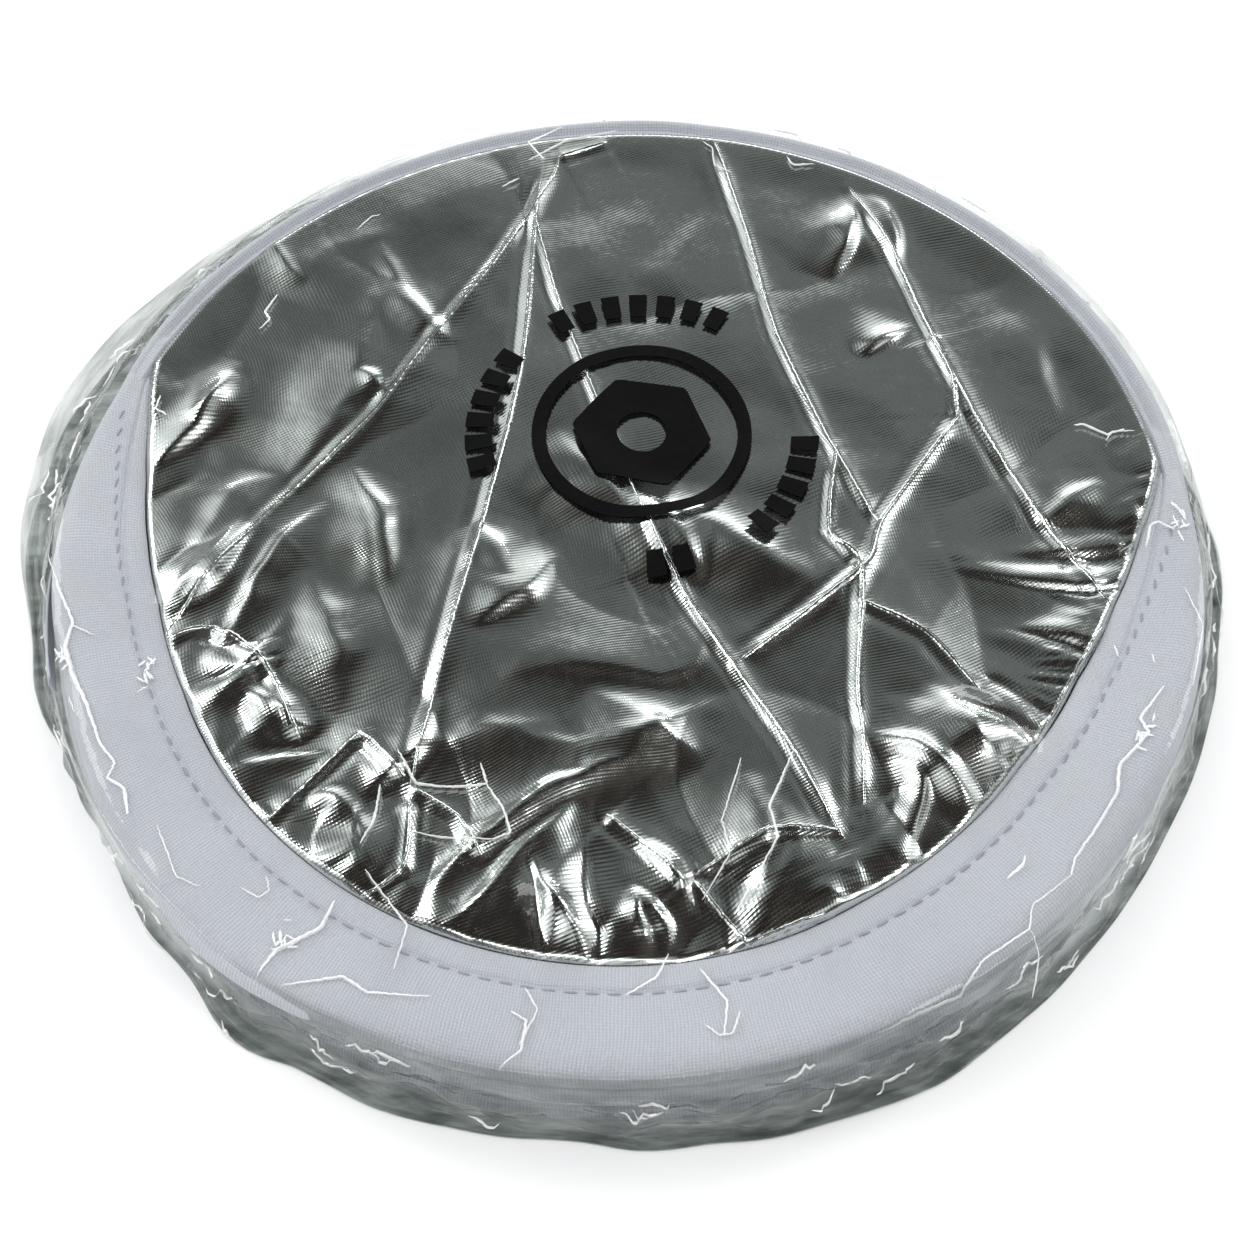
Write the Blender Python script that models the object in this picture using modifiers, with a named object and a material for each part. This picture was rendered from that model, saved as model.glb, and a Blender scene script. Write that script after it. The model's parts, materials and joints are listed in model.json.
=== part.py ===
"""Collapsible photographic reflector disc, coiled for storage, in a clear plastic bag.

Run with: blender --background --python part.py

A sprung steel hoop, 0.6 m across when it is open, is coiled into three stacked loops. Each loop is
a length of steel band in a folded binding tape, which is sewn to a silver cloth and a white cloth.
The loops fold like an accordion: the middle loop is turned over, so that it lies silver side down
on the silver side of the bottom loop, and the top loop lies silver side up again.

Metres, +Z up. The origin is at the centre of the disc, on the surface that the bag lies on.
"""
import math

import bpy

COLLECTION_NAME = "collapsible_reflector_disc"
CUTTER_COLLECTION_NAME = "cutters"

# Driving dimensions
OPEN_DIAMETER = 0.604            # steel hoop, middle of the band, when it is open
LOOP_COUNT = 3                   # loops that the hoop is coiled into
BAND_WIDTH = 0.0038
BAND_THICKNESS = 0.0008
TAPE_OUTER_RADIUS = 0.104        # outside of the binding tape on a coiled loop
TAPE_THICKNESS = 0.0005
TAPE_INNER_RADIUS = 0.0845       # inner edge of the tape's two lips
STITCH_RADIUS = 0.0897
LIP_HEIGHT = 0.0011              # middle of a lip, above the loop's mid plane
LIP_FLAT = 0.001                 # the lip stays flat this far outside the stitches
TAPE_SLOPE = 0.0045              # outside the stitches, where the tape has almost filled out
TAPE_FULL = 0.0080               # outside the stitches, where the tape is at its full height
TAPE_ROUNDING = 0.0019           # inside the rim, where the tape starts to curve down
TAPE_TURN = 0.0003               # inside the rim, where it is steepest
LOOP_HEIGHT = 0.0072
LOOP_GAP = 0.0004                # between one loop and the next
CLOTH_RIM_RADIUS = 0.0955        # cloth edge, inside the tape
CLOTH_RIM_LOW = 0.00015
CLOTH_RIM_HIGH = 0.00055
CLOTH_CROWN = 0.0034             # top of the bunched cloth, above the loop's mid plane
CLOTH_SHOULDER = 0.006           # inside the tape, where the bunched cloth starts to fall
CLOTH_FOOT = 0.0015              # inside the tape, where it is down to its rim
THREAD_RADIUS = 0.0002
FILM_THICKNESS = 0.0003
FILM_OUTER_RADIUS = 0.114        # edge of the bag, where its two films meet
PRINT_OUTER_RADIUS = 0.0205
PRINT_INNER_RADIUS = 0.0178
PRINT_THICKNESS = 0.0002
PRINT_CENTRE = (0.004, 0.0225)   # of the printed ring, from the middle of the disc
GAP = 0.0003                     # left between pieces that touch

# Rules that follow from them
BAND_RADIUS = OPEN_DIAMETER / 2 / LOOP_COUNT
HINGE_RADIUS = TAPE_OUTER_RADIUS + 0.0005
LOOP_PITCH = LOOP_HEIGHT + LOOP_GAP
FIRST_LOOP_Z = FILM_THICKNESS + GAP + LOOP_HEIGHT / 2
STACK_TOP = FIRST_LOOP_Z + (LOOP_COUNT - 1) * LOOP_PITCH + LOOP_HEIGHT / 2
FILM_TOP = STACK_TOP + 0.00075   # middle of the film over the top loop

# Strips of tape that climb from one loop to the next
CROSSOVER_HALF_ANGLE = math.radians(14)
CROSSOVER_HALF_WIDTH = 0.0020
CROSSOVER_THICKNESS = 0.0004
CROSSOVER_LIFT = 0.0003          # from the gap outside the tape to the middle of the strip

# The front film's section, middle of the bag to its edge: radius and height
FILM_WALL_RADIUS = TAPE_OUTER_RADIUS + 0.0032
FILM_SECTION = [
    (0, FILM_TOP),
    (0.097, FILM_TOP),
    (0.1030, FILM_TOP - 0.0004),
    (0.1062, FILM_TOP - 0.0022),
    (FILM_WALL_RADIUS - 0.0002, FILM_TOP - 0.006),
    (FILM_WALL_RADIUS, 0.009),
    (FILM_WALL_RADIUS + 0.0010, 0.0040),
    (FILM_WALL_RADIUS + 0.0030, 0.0018),
    (FILM_OUTER_RADIUS - 0.0002, FILM_THICKNESS * 1.5 + GAP * 1.6),
]

# Splice where the two ends of the steel band meet
SPLICE_ANGLE = math.radians(90)
SPLICE_HALF_ANGLE = math.radians(5)
RIVET_ANGLE = math.radians(3.2)  # each rivet, from the middle of the splice
SLEEVE_THICKNESS = 0.0003
SLEEVE_SLIT = 0.001              # half the slit on the sleeve's inner side
BAND_END_GAP = 0.001
RIVET_SHANK_RADIUS = 0.0006
RIVET_HEAD_RADIUS = 0.0013
RIVET_HEAD_HEIGHT = 0.0004
RIVET_HOLE_DEPTH = 0.006
BAND_END_CUT = (0.004, BAND_END_GAP, 0.01)

ROUND_STEPS = 48
SPLICE_STEPS = 4
RIVET_STEPS = 12
CROSSOVER_STEPS = 10
THREAD_SIDES = 4
CUTTER_SIDES = 16
SMOOTH_ANGLE = math.radians(40)
MERGE_DISTANCE = 0.00005

# Name, height of the mid plane, +1 for silver side up
LOOPS = [
    ("bottom", FIRST_LOOP_Z, 1),
    ("middle", FIRST_LOOP_Z + LOOP_PITCH, -1),
    ("top", FIRST_LOOP_Z + 2 * LOOP_PITCH, 1),
]

# Name: colour, metallic, roughness
FINISHES = {
    "spring_steel": ((0.35, 0.36, 0.38, 1), 1.0, 0.35),
    "sleeve_metal": ((0.60, 0.60, 0.62, 1), 1.0, 0.40),
    "binding_tape": ((0.78, 0.79, 0.84, 1), 0.0, 0.85),
    "seam_thread": ((0.72, 0.73, 0.80, 1), 0.0, 0.75),
    "silver_cloth": ((0.62, 0.64, 0.63, 1), 1.0, 0.22),
    "white_cloth": ((0.85, 0.85, 0.84, 1), 0.0, 0.90),
    "clear_film": ((0.90, 0.93, 0.92, 0.25), 0.0, 0.08),
    "black_ink": ((0.01, 0.01, 0.01, 1), 0.0, 0.45),
}


def clear_scene():
    for found in list(bpy.data.objects):
        bpy.data.objects.remove(found, do_unlink=True)


def make_collection(name):
    collection = bpy.data.collections.new(name)
    bpy.context.scene.collection.children.link(collection)
    return collection


def make_material(name):
    colour, metallic, roughness = FINISHES[name]
    material = bpy.data.materials.new(name)
    material.use_nodes = True
    shader = material.node_tree.nodes["Principled BSDF"]
    shader.inputs["Base Color"].default_value = colour
    shader.inputs["Alpha"].default_value = colour[3]
    shader.inputs["Metallic"].default_value = metallic
    shader.inputs["Roughness"].default_value = roughness
    material.diffuse_color = colour
    return material


def make_empty(collection, name, place, parent=None):
    empty = bpy.data.objects.new(name, None)
    collection.objects.link(empty)
    empty.parent = parent
    empty.location = place
    return empty


def add_profile(collection, name, points, closed=False):
    """An outline in the XZ plane, as a mesh of edges that a Screw modifier turns about Z."""
    edges = [(i, i + 1) for i in range(len(points) - 1)]
    if closed:
        edges.append((len(points) - 1, 0))
    mesh = bpy.data.meshes.new(name)
    mesh.from_pydata([(x, 0, z) for x, z in points], edges, [])
    made = bpy.data.objects.new(name, mesh)
    collection.objects.link(made)
    return made


def turn(made, angle=2 * math.pi, steps=ROUND_STEPS, rise=0.0):
    """Turn the profile about Z. A part turn starts at +X and goes towards +Y."""
    screw = made.modifiers.new("turn", "SCREW")
    screw.axis = "Z"
    screw.angle = angle
    screw.screw_offset = rise
    screw.steps = steps
    screw.render_steps = steps
    screw.use_merge_vertices = True
    screw.merge_threshold = MERGE_DISTANCE
    screw.use_smooth_shade = True


def thicken(made, thickness, offset=0.0):
    solidify = made.modifiers.new("thickness", "SOLIDIFY")
    solidify.thickness = thickness
    solidify.offset = offset
    solidify.use_even_offset = True


def cut_with(made, cutter, name):
    boolean = made.modifiers.new(name, "BOOLEAN")
    boolean.operation = "DIFFERENCE"
    boolean.solver = "EXACT"
    boolean.object = cutter


def finish_piece(made, parent, place, material):
    """Give the piece its material, and put it at a world place under its body's empty."""
    made.data.materials.append(material)
    made.parent = parent
    made.location = [place[i] - world_place(parent)[i] for i in range(3)]


def world_place(empty):
    place = [0.0, 0.0, 0.0]
    while empty is not None:
        place = [place[i] + empty.location[i] for i in range(3)]
        empty = empty.parent
    return place


def add_cutter(collection, name, radius, depth, angle, centre_radius, height):
    """A cylinder whose axis points out from the Z axis."""
    bpy.ops.mesh.primitive_cylinder_add(vertices=CUTTER_SIDES, radius=radius, depth=depth)
    cutter = bpy.context.object
    cutter.name = name
    cutter.location = (centre_radius * math.cos(angle), centre_radius * math.sin(angle), height)
    cutter.rotation_euler = (0, math.pi / 2, angle)
    hide_as_cutter(cutter, collection)
    return cutter


def add_box_cutter(collection, name, size, angle, centre_radius, height):
    bpy.ops.mesh.primitive_cube_add(size=1)
    cutter = bpy.context.object
    cutter.name = name
    cutter.scale = size
    cutter.location = (centre_radius * math.cos(angle), centre_radius * math.sin(angle), height)
    cutter.rotation_euler = (0, 0, angle)
    hide_as_cutter(cutter, collection)
    return cutter


def hide_as_cutter(cutter, collection):
    for owner in list(cutter.users_collection):
        owner.objects.unlink(cutter)
    collection.objects.link(cutter)
    cutter.hide_render = True
    cutter.display_type = "WIRE"


def steel_band(collection, name, parent, height, material):
    """A flat hoop, its width upright."""
    inner = BAND_RADIUS - BAND_THICKNESS / 2
    outer = BAND_RADIUS + BAND_THICKNESS / 2
    half = BAND_WIDTH / 2
    profile = [(outer, half), (outer, -half), (inner, -half), (inner, half)]
    band = add_profile(collection, name, profile, closed=True)
    turn(band)
    finish_piece(band, parent, (0, 0, height), material)
    return band


def binding_tape(collection, name, parent, height, material):
    """The tape, folded round the hoop: two flat lips at the stitch line, and a full round rim."""
    half = LOOP_HEIGHT / 2 - TAPE_THICKNESS / 2
    rim = TAPE_OUTER_RADIUS - TAPE_THICKNESS / 2
    upper = [
        (TAPE_INNER_RADIUS, LIP_HEIGHT),
        (STITCH_RADIUS + LIP_FLAT, LIP_HEIGHT),
        (STITCH_RADIUS + TAPE_SLOPE, half * 0.76),
        (STITCH_RADIUS + TAPE_FULL, half),
        (rim - TAPE_ROUNDING, half * 0.95),
        (rim - TAPE_TURN, half * 0.55),
    ]
    lower = [(x, -z) for x, z in reversed(upper)]
    tape = add_profile(collection, name, upper + [(rim, 0)] + lower)
    turn(tape)
    thicken(tape, TAPE_THICKNESS)
    finish_piece(tape, parent, (0, 0, height), material)


def seam_thread(collection, name, parent, height, material):
    bpy.ops.mesh.primitive_torus_add(
        major_radius=STITCH_RADIUS,
        minor_radius=THREAD_RADIUS,
        major_segments=ROUND_STEPS,
        minor_segments=THREAD_SIDES,
    )
    thread = bpy.context.object
    thread.name = name
    thread.data.name = name
    for owner in list(thread.users_collection):
        owner.objects.unlink(thread)
    collection.objects.link(thread)
    finish_piece(thread, parent, (0, 0, height), material)


def cloth_pad(collection, name, parent, height, side, material):
    """The bunched cloth of one loop: a thin rim held between the tape's lips, full inside it."""
    top = [
        (0, CLOTH_CROWN),
        (TAPE_INNER_RADIUS * 0.55, CLOTH_CROWN),
        (TAPE_INNER_RADIUS - CLOTH_SHOULDER, CLOTH_CROWN * 0.88),
        (TAPE_INNER_RADIUS - CLOTH_FOOT, CLOTH_RIM_HIGH),
        (CLOTH_RIM_RADIUS, CLOTH_RIM_HIGH),
        (CLOTH_RIM_RADIUS, CLOTH_RIM_LOW),
        (0, CLOTH_RIM_LOW),
    ]
    if side < 0:
        top = [(x, -z) for x, z in reversed(top)]
    pad = add_profile(collection, name, top)
    turn(pad)
    finish_piece(pad, parent, (0, 0, height), material)


def loop(collection, name, parent, height, silver_side, materials):
    """Every piece of one loop. Returns its steel band."""
    band = steel_band(collection, f"{name}_steel_band", parent, height, materials["spring_steel"])
    binding_tape(collection, f"{name}_binding_tape", parent, height, materials["binding_tape"])
    thread_lift = LIP_HEIGHT + TAPE_THICKNESS / 2 + GAP + THREAD_RADIUS
    threads = [("needle", silver_side), ("bobbin", -silver_side)]
    for thread, side in threads:
        thread_height = height + side * thread_lift
        thread_name = f"{name}_{thread}_thread"
        seam_thread(collection, thread_name, parent, thread_height, materials["seam_thread"])
    cloths = [("silver", silver_side), ("white", -silver_side)]
    for cloth, side in cloths:
        material = materials[f"{cloth}_cloth"]
        cloth_pad(collection, f"{name}_{cloth}_cloth", parent, height, side, material)
    return band


def splice(collection, cutters, parent, band, height, materials):
    """The band's two ends butt inside a folded sleeve, held by a rivet in each end."""
    ends = add_box_cutter(
        cutters, "band_end_cutter", BAND_END_CUT, SPLICE_ANGLE, BAND_RADIUS, height
    )
    cut_with(band, ends, "ends")
    sleeve = splice_sleeve(collection, parent, height, materials["sleeve_metal"])
    for number, side in ((1, -1), (2, 1)):
        angle = SPLICE_ANGLE + side * RIVET_ANGLE
        hole = add_cutter(
            cutters,
            f"rivet_hole_cutter_{number}",
            RIVET_SHANK_RADIUS + GAP,
            RIVET_HOLE_DEPTH,
            angle,
            BAND_RADIUS,
            height,
        )
        cut_with(band, hole, f"hole_{number}")
        cut_with(sleeve, hole, f"hole_{number}")
        splice_rivet(collection, f"splice_rivet_{number}", parent, angle, height, materials)


def splice_sleeve(collection, parent, height, material):
    """A strip folded round the band, open in a slit on the band's inner side."""
    reach = BAND_THICKNESS / 2 + GAP + SLEEVE_THICKNESS / 2
    inner = BAND_RADIUS - reach
    outer = BAND_RADIUS + reach
    half = BAND_WIDTH / 2 + GAP + SLEEVE_THICKNESS / 2
    profile = [
        (inner, SLEEVE_SLIT),
        (inner, half),
        (outer, half),
        (outer, -half),
        (inner, -half),
        (inner, -SLEEVE_SLIT),
    ]
    sleeve = add_profile(collection, "splice_sleeve", profile)
    turn(sleeve, 2 * SPLICE_HALF_ANGLE, SPLICE_STEPS)
    thicken(sleeve, SLEEVE_THICKNESS)
    finish_piece(sleeve, parent, (0, 0, height), material)
    sleeve.rotation_euler = (0, 0, SPLICE_ANGLE - SPLICE_HALF_ANGLE)
    return sleeve


def splice_rivet(collection, name, parent, angle, height, materials):
    """A shank with a head at each end, its axis pointing out from the middle of the loop."""
    under_head = BAND_THICKNESS / 2 + GAP + SLEEVE_THICKNESS + GAP
    top = under_head + RIVET_HEAD_HEIGHT
    profile = [
        (0, top),
        (RIVET_HEAD_RADIUS * 0.7, top),
        (RIVET_HEAD_RADIUS, under_head + RIVET_HEAD_HEIGHT * 0.4),
        (RIVET_HEAD_RADIUS, under_head),
        (RIVET_SHANK_RADIUS, under_head),
    ]
    profile += [(x, -z) for x, z in reversed(profile)]
    rivet = add_profile(collection, name, profile)
    turn(rivet, steps=RIVET_STEPS)
    place = (BAND_RADIUS * math.cos(angle), BAND_RADIUS * math.sin(angle), height)
    finish_piece(rivet, parent, place, materials["sleeve_metal"])
    rivet.rotation_euler = (0, math.pi / 2, angle)


def crossover_tape(collection, name, parent, angle, low, high, material):
    """A strip of tape that climbs from one loop's rim to the next one's, past their hinge."""
    radius = TAPE_OUTER_RADIUS + GAP + CROSSOVER_LIFT
    edges = [(radius, CROSSOVER_HALF_WIDTH), (radius, -CROSSOVER_HALF_WIDTH)]
    strip = add_profile(collection, name, edges)
    turn(strip, 2 * CROSSOVER_HALF_ANGLE, CROSSOVER_STEPS, high - low)
    thicken(strip, CROSSOVER_THICKNESS)
    finish_piece(strip, parent, (0, 0, low), material)
    strip.rotation_euler = (0, 0, angle - CROSSOVER_HALF_ANGLE)


def bag_front_film(collection, parent, material):
    """The film over the top and down the side of the stack, open underneath."""
    film = add_profile(collection, "bag_front_film", FILM_SECTION)
    turn(film)
    thicken(film, FILM_THICKNESS)
    finish_piece(film, parent, (0, 0, 0), material)


def bag_back_film(collection, parent, material):
    bpy.ops.mesh.primitive_cylinder_add(
        vertices=ROUND_STEPS, radius=FILM_OUTER_RADIUS, depth=FILM_THICKNESS
    )
    film = bpy.context.object
    film.name = "bag_back_film"
    film.data.name = "bag_back_film"
    for owner in list(film.users_collection):
        owner.objects.unlink(film)
    collection.objects.link(film)
    finish_piece(film, parent, (0, 0, FILM_THICKNESS / 2), material)


def bag_print_ring(collection, parent, material):
    """A plain ring of ink on the film, over the middle of the disc."""
    low = FILM_TOP + FILM_THICKNESS / 2 + GAP
    high = low + PRINT_THICKNESS
    profile = [
        (PRINT_OUTER_RADIUS, high),
        (PRINT_OUTER_RADIUS, low),
        (PRINT_INNER_RADIUS, low),
        (PRINT_INNER_RADIUS, high),
    ]
    ring = add_profile(collection, "bag_print_ring", profile, closed=True)
    turn(ring)
    finish_piece(ring, parent, (PRINT_CENTRE[0], PRINT_CENTRE[1], 0), material)


def shade(collection):
    for made in collection.objects:
        if made.type == "MESH" and made.data.polygons:
            made.data.shade_smooth()
            made.data.set_sharp_from_angle(angle=SMOOTH_ANGLE)


def build():
    clear_scene()
    collection = make_collection(COLLECTION_NAME)
    cutters = make_collection(CUTTER_COLLECTION_NAME)
    materials = {name: make_material(name) for name in FINISHES}

    first_fold = FIRST_LOOP_Z + LOOP_PITCH / 2
    second_fold = first_fold + LOOP_PITCH
    bottom = make_empty(collection, "bottom_loop", (0, 0, 0))
    middle = make_empty(collection, "middle_loop", (HINGE_RADIUS, 0, first_fold), bottom)
    top = make_empty(collection, "top_loop", (-2 * HINGE_RADIUS, 0, LOOP_PITCH), middle)
    bag = make_empty(collection, "bag", (0, 0, 0), bottom)

    bands = []
    for (name, height, silver_side), body in zip(LOOPS, (bottom, middle, top)):
        bands.append(loop(collection, name, body, height, silver_side, materials))
    splice(collection, cutters, bottom, bands[0], FIRST_LOOP_Z, materials)

    tape = materials["binding_tape"]
    low = FIRST_LOOP_Z
    middle_height = first_fold + LOOP_PITCH / 2
    high = second_fold + LOOP_PITCH / 2
    crossover_tape(collection, "right_crossover_tape", bottom, 0, low, middle_height, tape)
    crossover_tape(collection, "left_crossover_tape", middle, math.pi, middle_height, high, tape)

    bag_front_film(collection, bag, materials["clear_film"])
    bag_back_film(collection, bag, materials["clear_film"])
    bag_print_ring(collection, bag, materials["black_ink"])
    shade(collection)


build()
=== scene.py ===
"""Looks of the collapsible reflector disc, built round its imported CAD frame.

Metres, +Z up. The coiled disc lies flat, silver side up, its centre over the origin and its near
side towards -Y. Angles go round the disc from +X through +Y.
"""
import json
import math

import bmesh
import bpy
import numpy as np
from mathutils import Matrix, Vector


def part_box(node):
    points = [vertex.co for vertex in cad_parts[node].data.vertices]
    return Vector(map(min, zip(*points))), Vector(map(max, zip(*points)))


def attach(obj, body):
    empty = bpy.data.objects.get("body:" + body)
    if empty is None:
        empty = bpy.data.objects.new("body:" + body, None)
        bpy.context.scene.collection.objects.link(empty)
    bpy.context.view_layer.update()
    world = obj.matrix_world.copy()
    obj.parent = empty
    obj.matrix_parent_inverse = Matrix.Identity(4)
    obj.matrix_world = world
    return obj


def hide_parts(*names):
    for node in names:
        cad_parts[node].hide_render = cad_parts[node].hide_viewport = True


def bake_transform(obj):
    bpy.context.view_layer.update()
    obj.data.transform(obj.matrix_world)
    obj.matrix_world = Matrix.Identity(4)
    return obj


MM = 0.001
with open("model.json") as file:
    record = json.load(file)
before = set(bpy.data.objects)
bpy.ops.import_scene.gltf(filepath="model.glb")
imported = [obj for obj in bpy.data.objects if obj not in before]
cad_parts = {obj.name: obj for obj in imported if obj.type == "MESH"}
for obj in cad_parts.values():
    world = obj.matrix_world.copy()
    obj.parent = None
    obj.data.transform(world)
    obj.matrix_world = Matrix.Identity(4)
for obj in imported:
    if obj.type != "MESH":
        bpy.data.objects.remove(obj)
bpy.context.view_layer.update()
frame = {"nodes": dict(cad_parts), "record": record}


# Heights and radii, from the frame
def mid_height(node):
    low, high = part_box(node)
    return (low.z + high.z) / 2


LOOP_Z = {name: mid_height(f"{name}_binding_tape") for name in ("bottom", "middle", "top")}
TAPE_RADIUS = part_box("top_binding_tape")[1].x
STITCH_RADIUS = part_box("top_needle_thread")[1].x
PRINT_LOW, PRINT_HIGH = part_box("bag_print_ring")
PRINT_CENTRE = (PRINT_LOW + PRINT_HIGH) / 2
PRINT_RADIUS = (PRINT_HIGH.x - PRINT_LOW.x) / 2

# Where the tape of the top loop dives under the far strand of the hoop
RIGHT_TIP = math.radians(12)
LEFT_TIP = math.radians(148)
STITCH_INSET = 5.2 * MM
STITCH_PITCH = 3.5 * MM
TAPE_THICKNESS = 0.45 * MM
FULL_TURN = 2 * math.pi


# ---------------------------------------------------------------- noise and curves


def smoothstep(low, high, value):
    share = np.clip((value - low) / (high - low), 0, 1)
    return share * share * (3 - 2 * share)


def blend_corners(at, a, b):
    """The value between four corners at(0 or 1, 0 or 1), a and b of the way across."""
    low = at(0, 0) * (1 - a) + at(1, 0) * a
    high = at(0, 1) * (1 - a) + at(1, 1) * a
    return low * (1 - b) + high * b


def smooth_noise(x, y, scale, seed):
    """Noise from -1 to 1 over a plane, one bump about every scale metres."""
    size = 64
    draw = np.random.default_rng(seed)
    lattice = draw.uniform(-1, 1, (size, size))
    turn = draw.uniform(0, math.pi)
    u = (x * math.cos(turn) - y * math.sin(turn)) / scale
    v = (x * math.sin(turn) + y * math.cos(turn)) / scale
    i = np.floor(u).astype(int)
    j = np.floor(v).astype(int)
    a = u - i
    b = v - j
    a = a * a * a * (a * (a * 6 - 15) + 10)
    b = b * b * b * (b * (b * 6 - 15) + 10)

    def at(di, dj):
        return lattice[(i + di) % size, (j + dj) % size]

    return blend_corners(at, a, b)


def facets(x, y, scale, seed):
    """Flat facets that meet in sharp folds, from 0 to about 1, one about every scale metres."""
    size = 48
    draw = np.random.default_rng(seed)
    jitter = draw.uniform(0.1, 0.9, (size, size, 2))
    turns = draw.uniform(0, math.pi, (size, size))
    u = x / scale
    v = y / scale
    i = np.floor(u).astype(int)
    j = np.floor(v).astype(int)
    nearest = np.full(u.shape, 9.0)
    for di in (-1, 0, 1):
        for dj in (-1, 0, 1):
            row = (i + di) % size
            column = (j + dj) % size
            dx = u - (i + di + jitter[row, column, 0])
            dy = v - (j + dj + jitter[row, column, 1])
            c = np.cos(turns[row, column])
            s = np.sin(turns[row, column])
            steps = np.abs(dx * c + dy * s) + np.abs(dy * c - dx * s)
            nearest = np.minimum(nearest, steps)
    return nearest


def spline(points, count, closed=False):
    """Points evenly spread in parameter along a smooth curve through the given ones."""
    points = np.asarray(points, float)
    n = len(points)
    spans = n if closed else n - 1
    t = np.linspace(0, spans, count, endpoint=not closed)
    i = np.minimum(np.floor(t).astype(int), spans - 1)
    f = (t - i)[:, None]

    def at(k):
        return points[k % n] if closed else points[np.clip(k, 0, n - 1)]

    p0, p1, p2, p3 = at(i - 1), at(i), at(i + 1), at(i + 2)
    return 0.5 * (
        2 * p1
        + (p2 - p0) * f
        + (2 * p0 - 5 * p1 + 4 * p2 - p3) * f**2
        + (3 * p1 - p0 - 3 * p2 + p3) * f**3
    )


def line_distance(x, y, line):
    """Signed distance from a line of points (positive on its left), and the share along it."""
    line = np.asarray(line, float)
    lengths = np.hypot(*np.diff(line, axis=0).T)
    total = lengths.sum()
    best = np.full(x.shape, 1e9)
    signed = np.zeros(x.shape)
    share = np.zeros(x.shape)
    start = 0.0
    for a, b, length in zip(line[:-1], line[1:], lengths):
        ux, uy = (b - a) / length
        along = np.clip((x - a[0]) * ux + (y - a[1]) * uy, 0, length)
        dx = x - a[0] - along * ux
        dy = y - a[1] - along * uy
        distance = np.hypot(dx, dy)
        closer = distance < best
        side = np.sign(ux * (y - a[1]) - uy * (x - a[0]))
        signed = np.where(closer, distance * side, signed)
        share = np.where(closer, (start + along) / total, share)
        best = np.minimum(best, distance)
        start += length
    return signed, share


# ---------------------------------------------------------------- meshes


def add_mesh(name, points, faces, uv=None):
    """A smooth mesh object from arrays. uv holds one pair for each point."""
    mesh = bpy.data.meshes.new(name)
    mesh.vertices.add(len(points))
    mesh.vertices.foreach_set("co", np.asarray(points, np.float32).ravel())
    faces = np.asarray(faces, np.int32)
    corners = faces.shape[1]
    mesh.loops.add(faces.size)
    mesh.loops.foreach_set("vertex_index", faces.ravel())
    mesh.polygons.add(len(faces))
    mesh.polygons.foreach_set("loop_start", np.arange(0, faces.size, corners, dtype=np.int32))
    mesh.update(calc_edges=True)
    mesh.validate()
    if uv is not None:
        layer = mesh.uv_layers.new(name="weave")
        layer.data.foreach_set("uv", np.asarray(uv, np.float32)[faces.ravel()].ravel())
    mesh.polygons.foreach_set("use_smooth", np.ones(len(mesh.polygons), bool))
    made = bpy.data.objects.new(name, mesh)
    bpy.context.scene.collection.objects.link(made)
    return made


def polar_points(radius, angle, z):
    """Points, one a row, from their distance from the Z axis, their angle and their height."""
    x = radius * np.cos(angle)
    y = radius * np.sin(angle)
    return np.stack(np.broadcast_arrays(x, y, z), -1)


def grid_faces(rows, columns, wrap_rows=False, wrap_columns=False):
    """Quads over a grid of points, facing the side that columns x rows points to."""
    i = np.arange(rows if wrap_rows else rows - 1)
    j = np.arange(columns if wrap_columns else columns - 1)
    i, j = (k.ravel() for k in np.meshgrid(i, j, indexing="ij"))
    i1 = (i + 1) % rows
    j1 = (j + 1) % columns
    return np.stack([i * columns + j, i * columns + j1, i1 * columns + j1, i1 * columns + j], 1)


def disc_grid(count):
    """A square grid of points bent to fill a unit disc, as x and y."""
    a, b = np.meshgrid(np.linspace(-1, 1, count), np.linspace(-1, 1, count))
    wide = np.abs(a) > np.abs(b)
    safe_a = np.where(a == 0, 1e-9, a)
    safe_b = np.where(b == 0, 1e-9, b)
    radius = np.where(wide, a, b)
    quarter = math.pi / 4
    angle = np.where(wide, quarter * b / safe_a, 2 * quarter - quarter * a / safe_b)
    return (radius * np.cos(angle)).ravel(), (radius * np.sin(angle)).ravel()


def finish_piece(made, body, slot, *nodes, material=None):
    """Paint a piece (material, else its slot's), put it under its body, hide the CAD nodes it
    replaces.
    """
    paint(made, material or slot)
    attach(made, body)
    if nodes:
        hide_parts(*nodes)
    return made


# ---------------------------------------------------------------- materials


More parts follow.
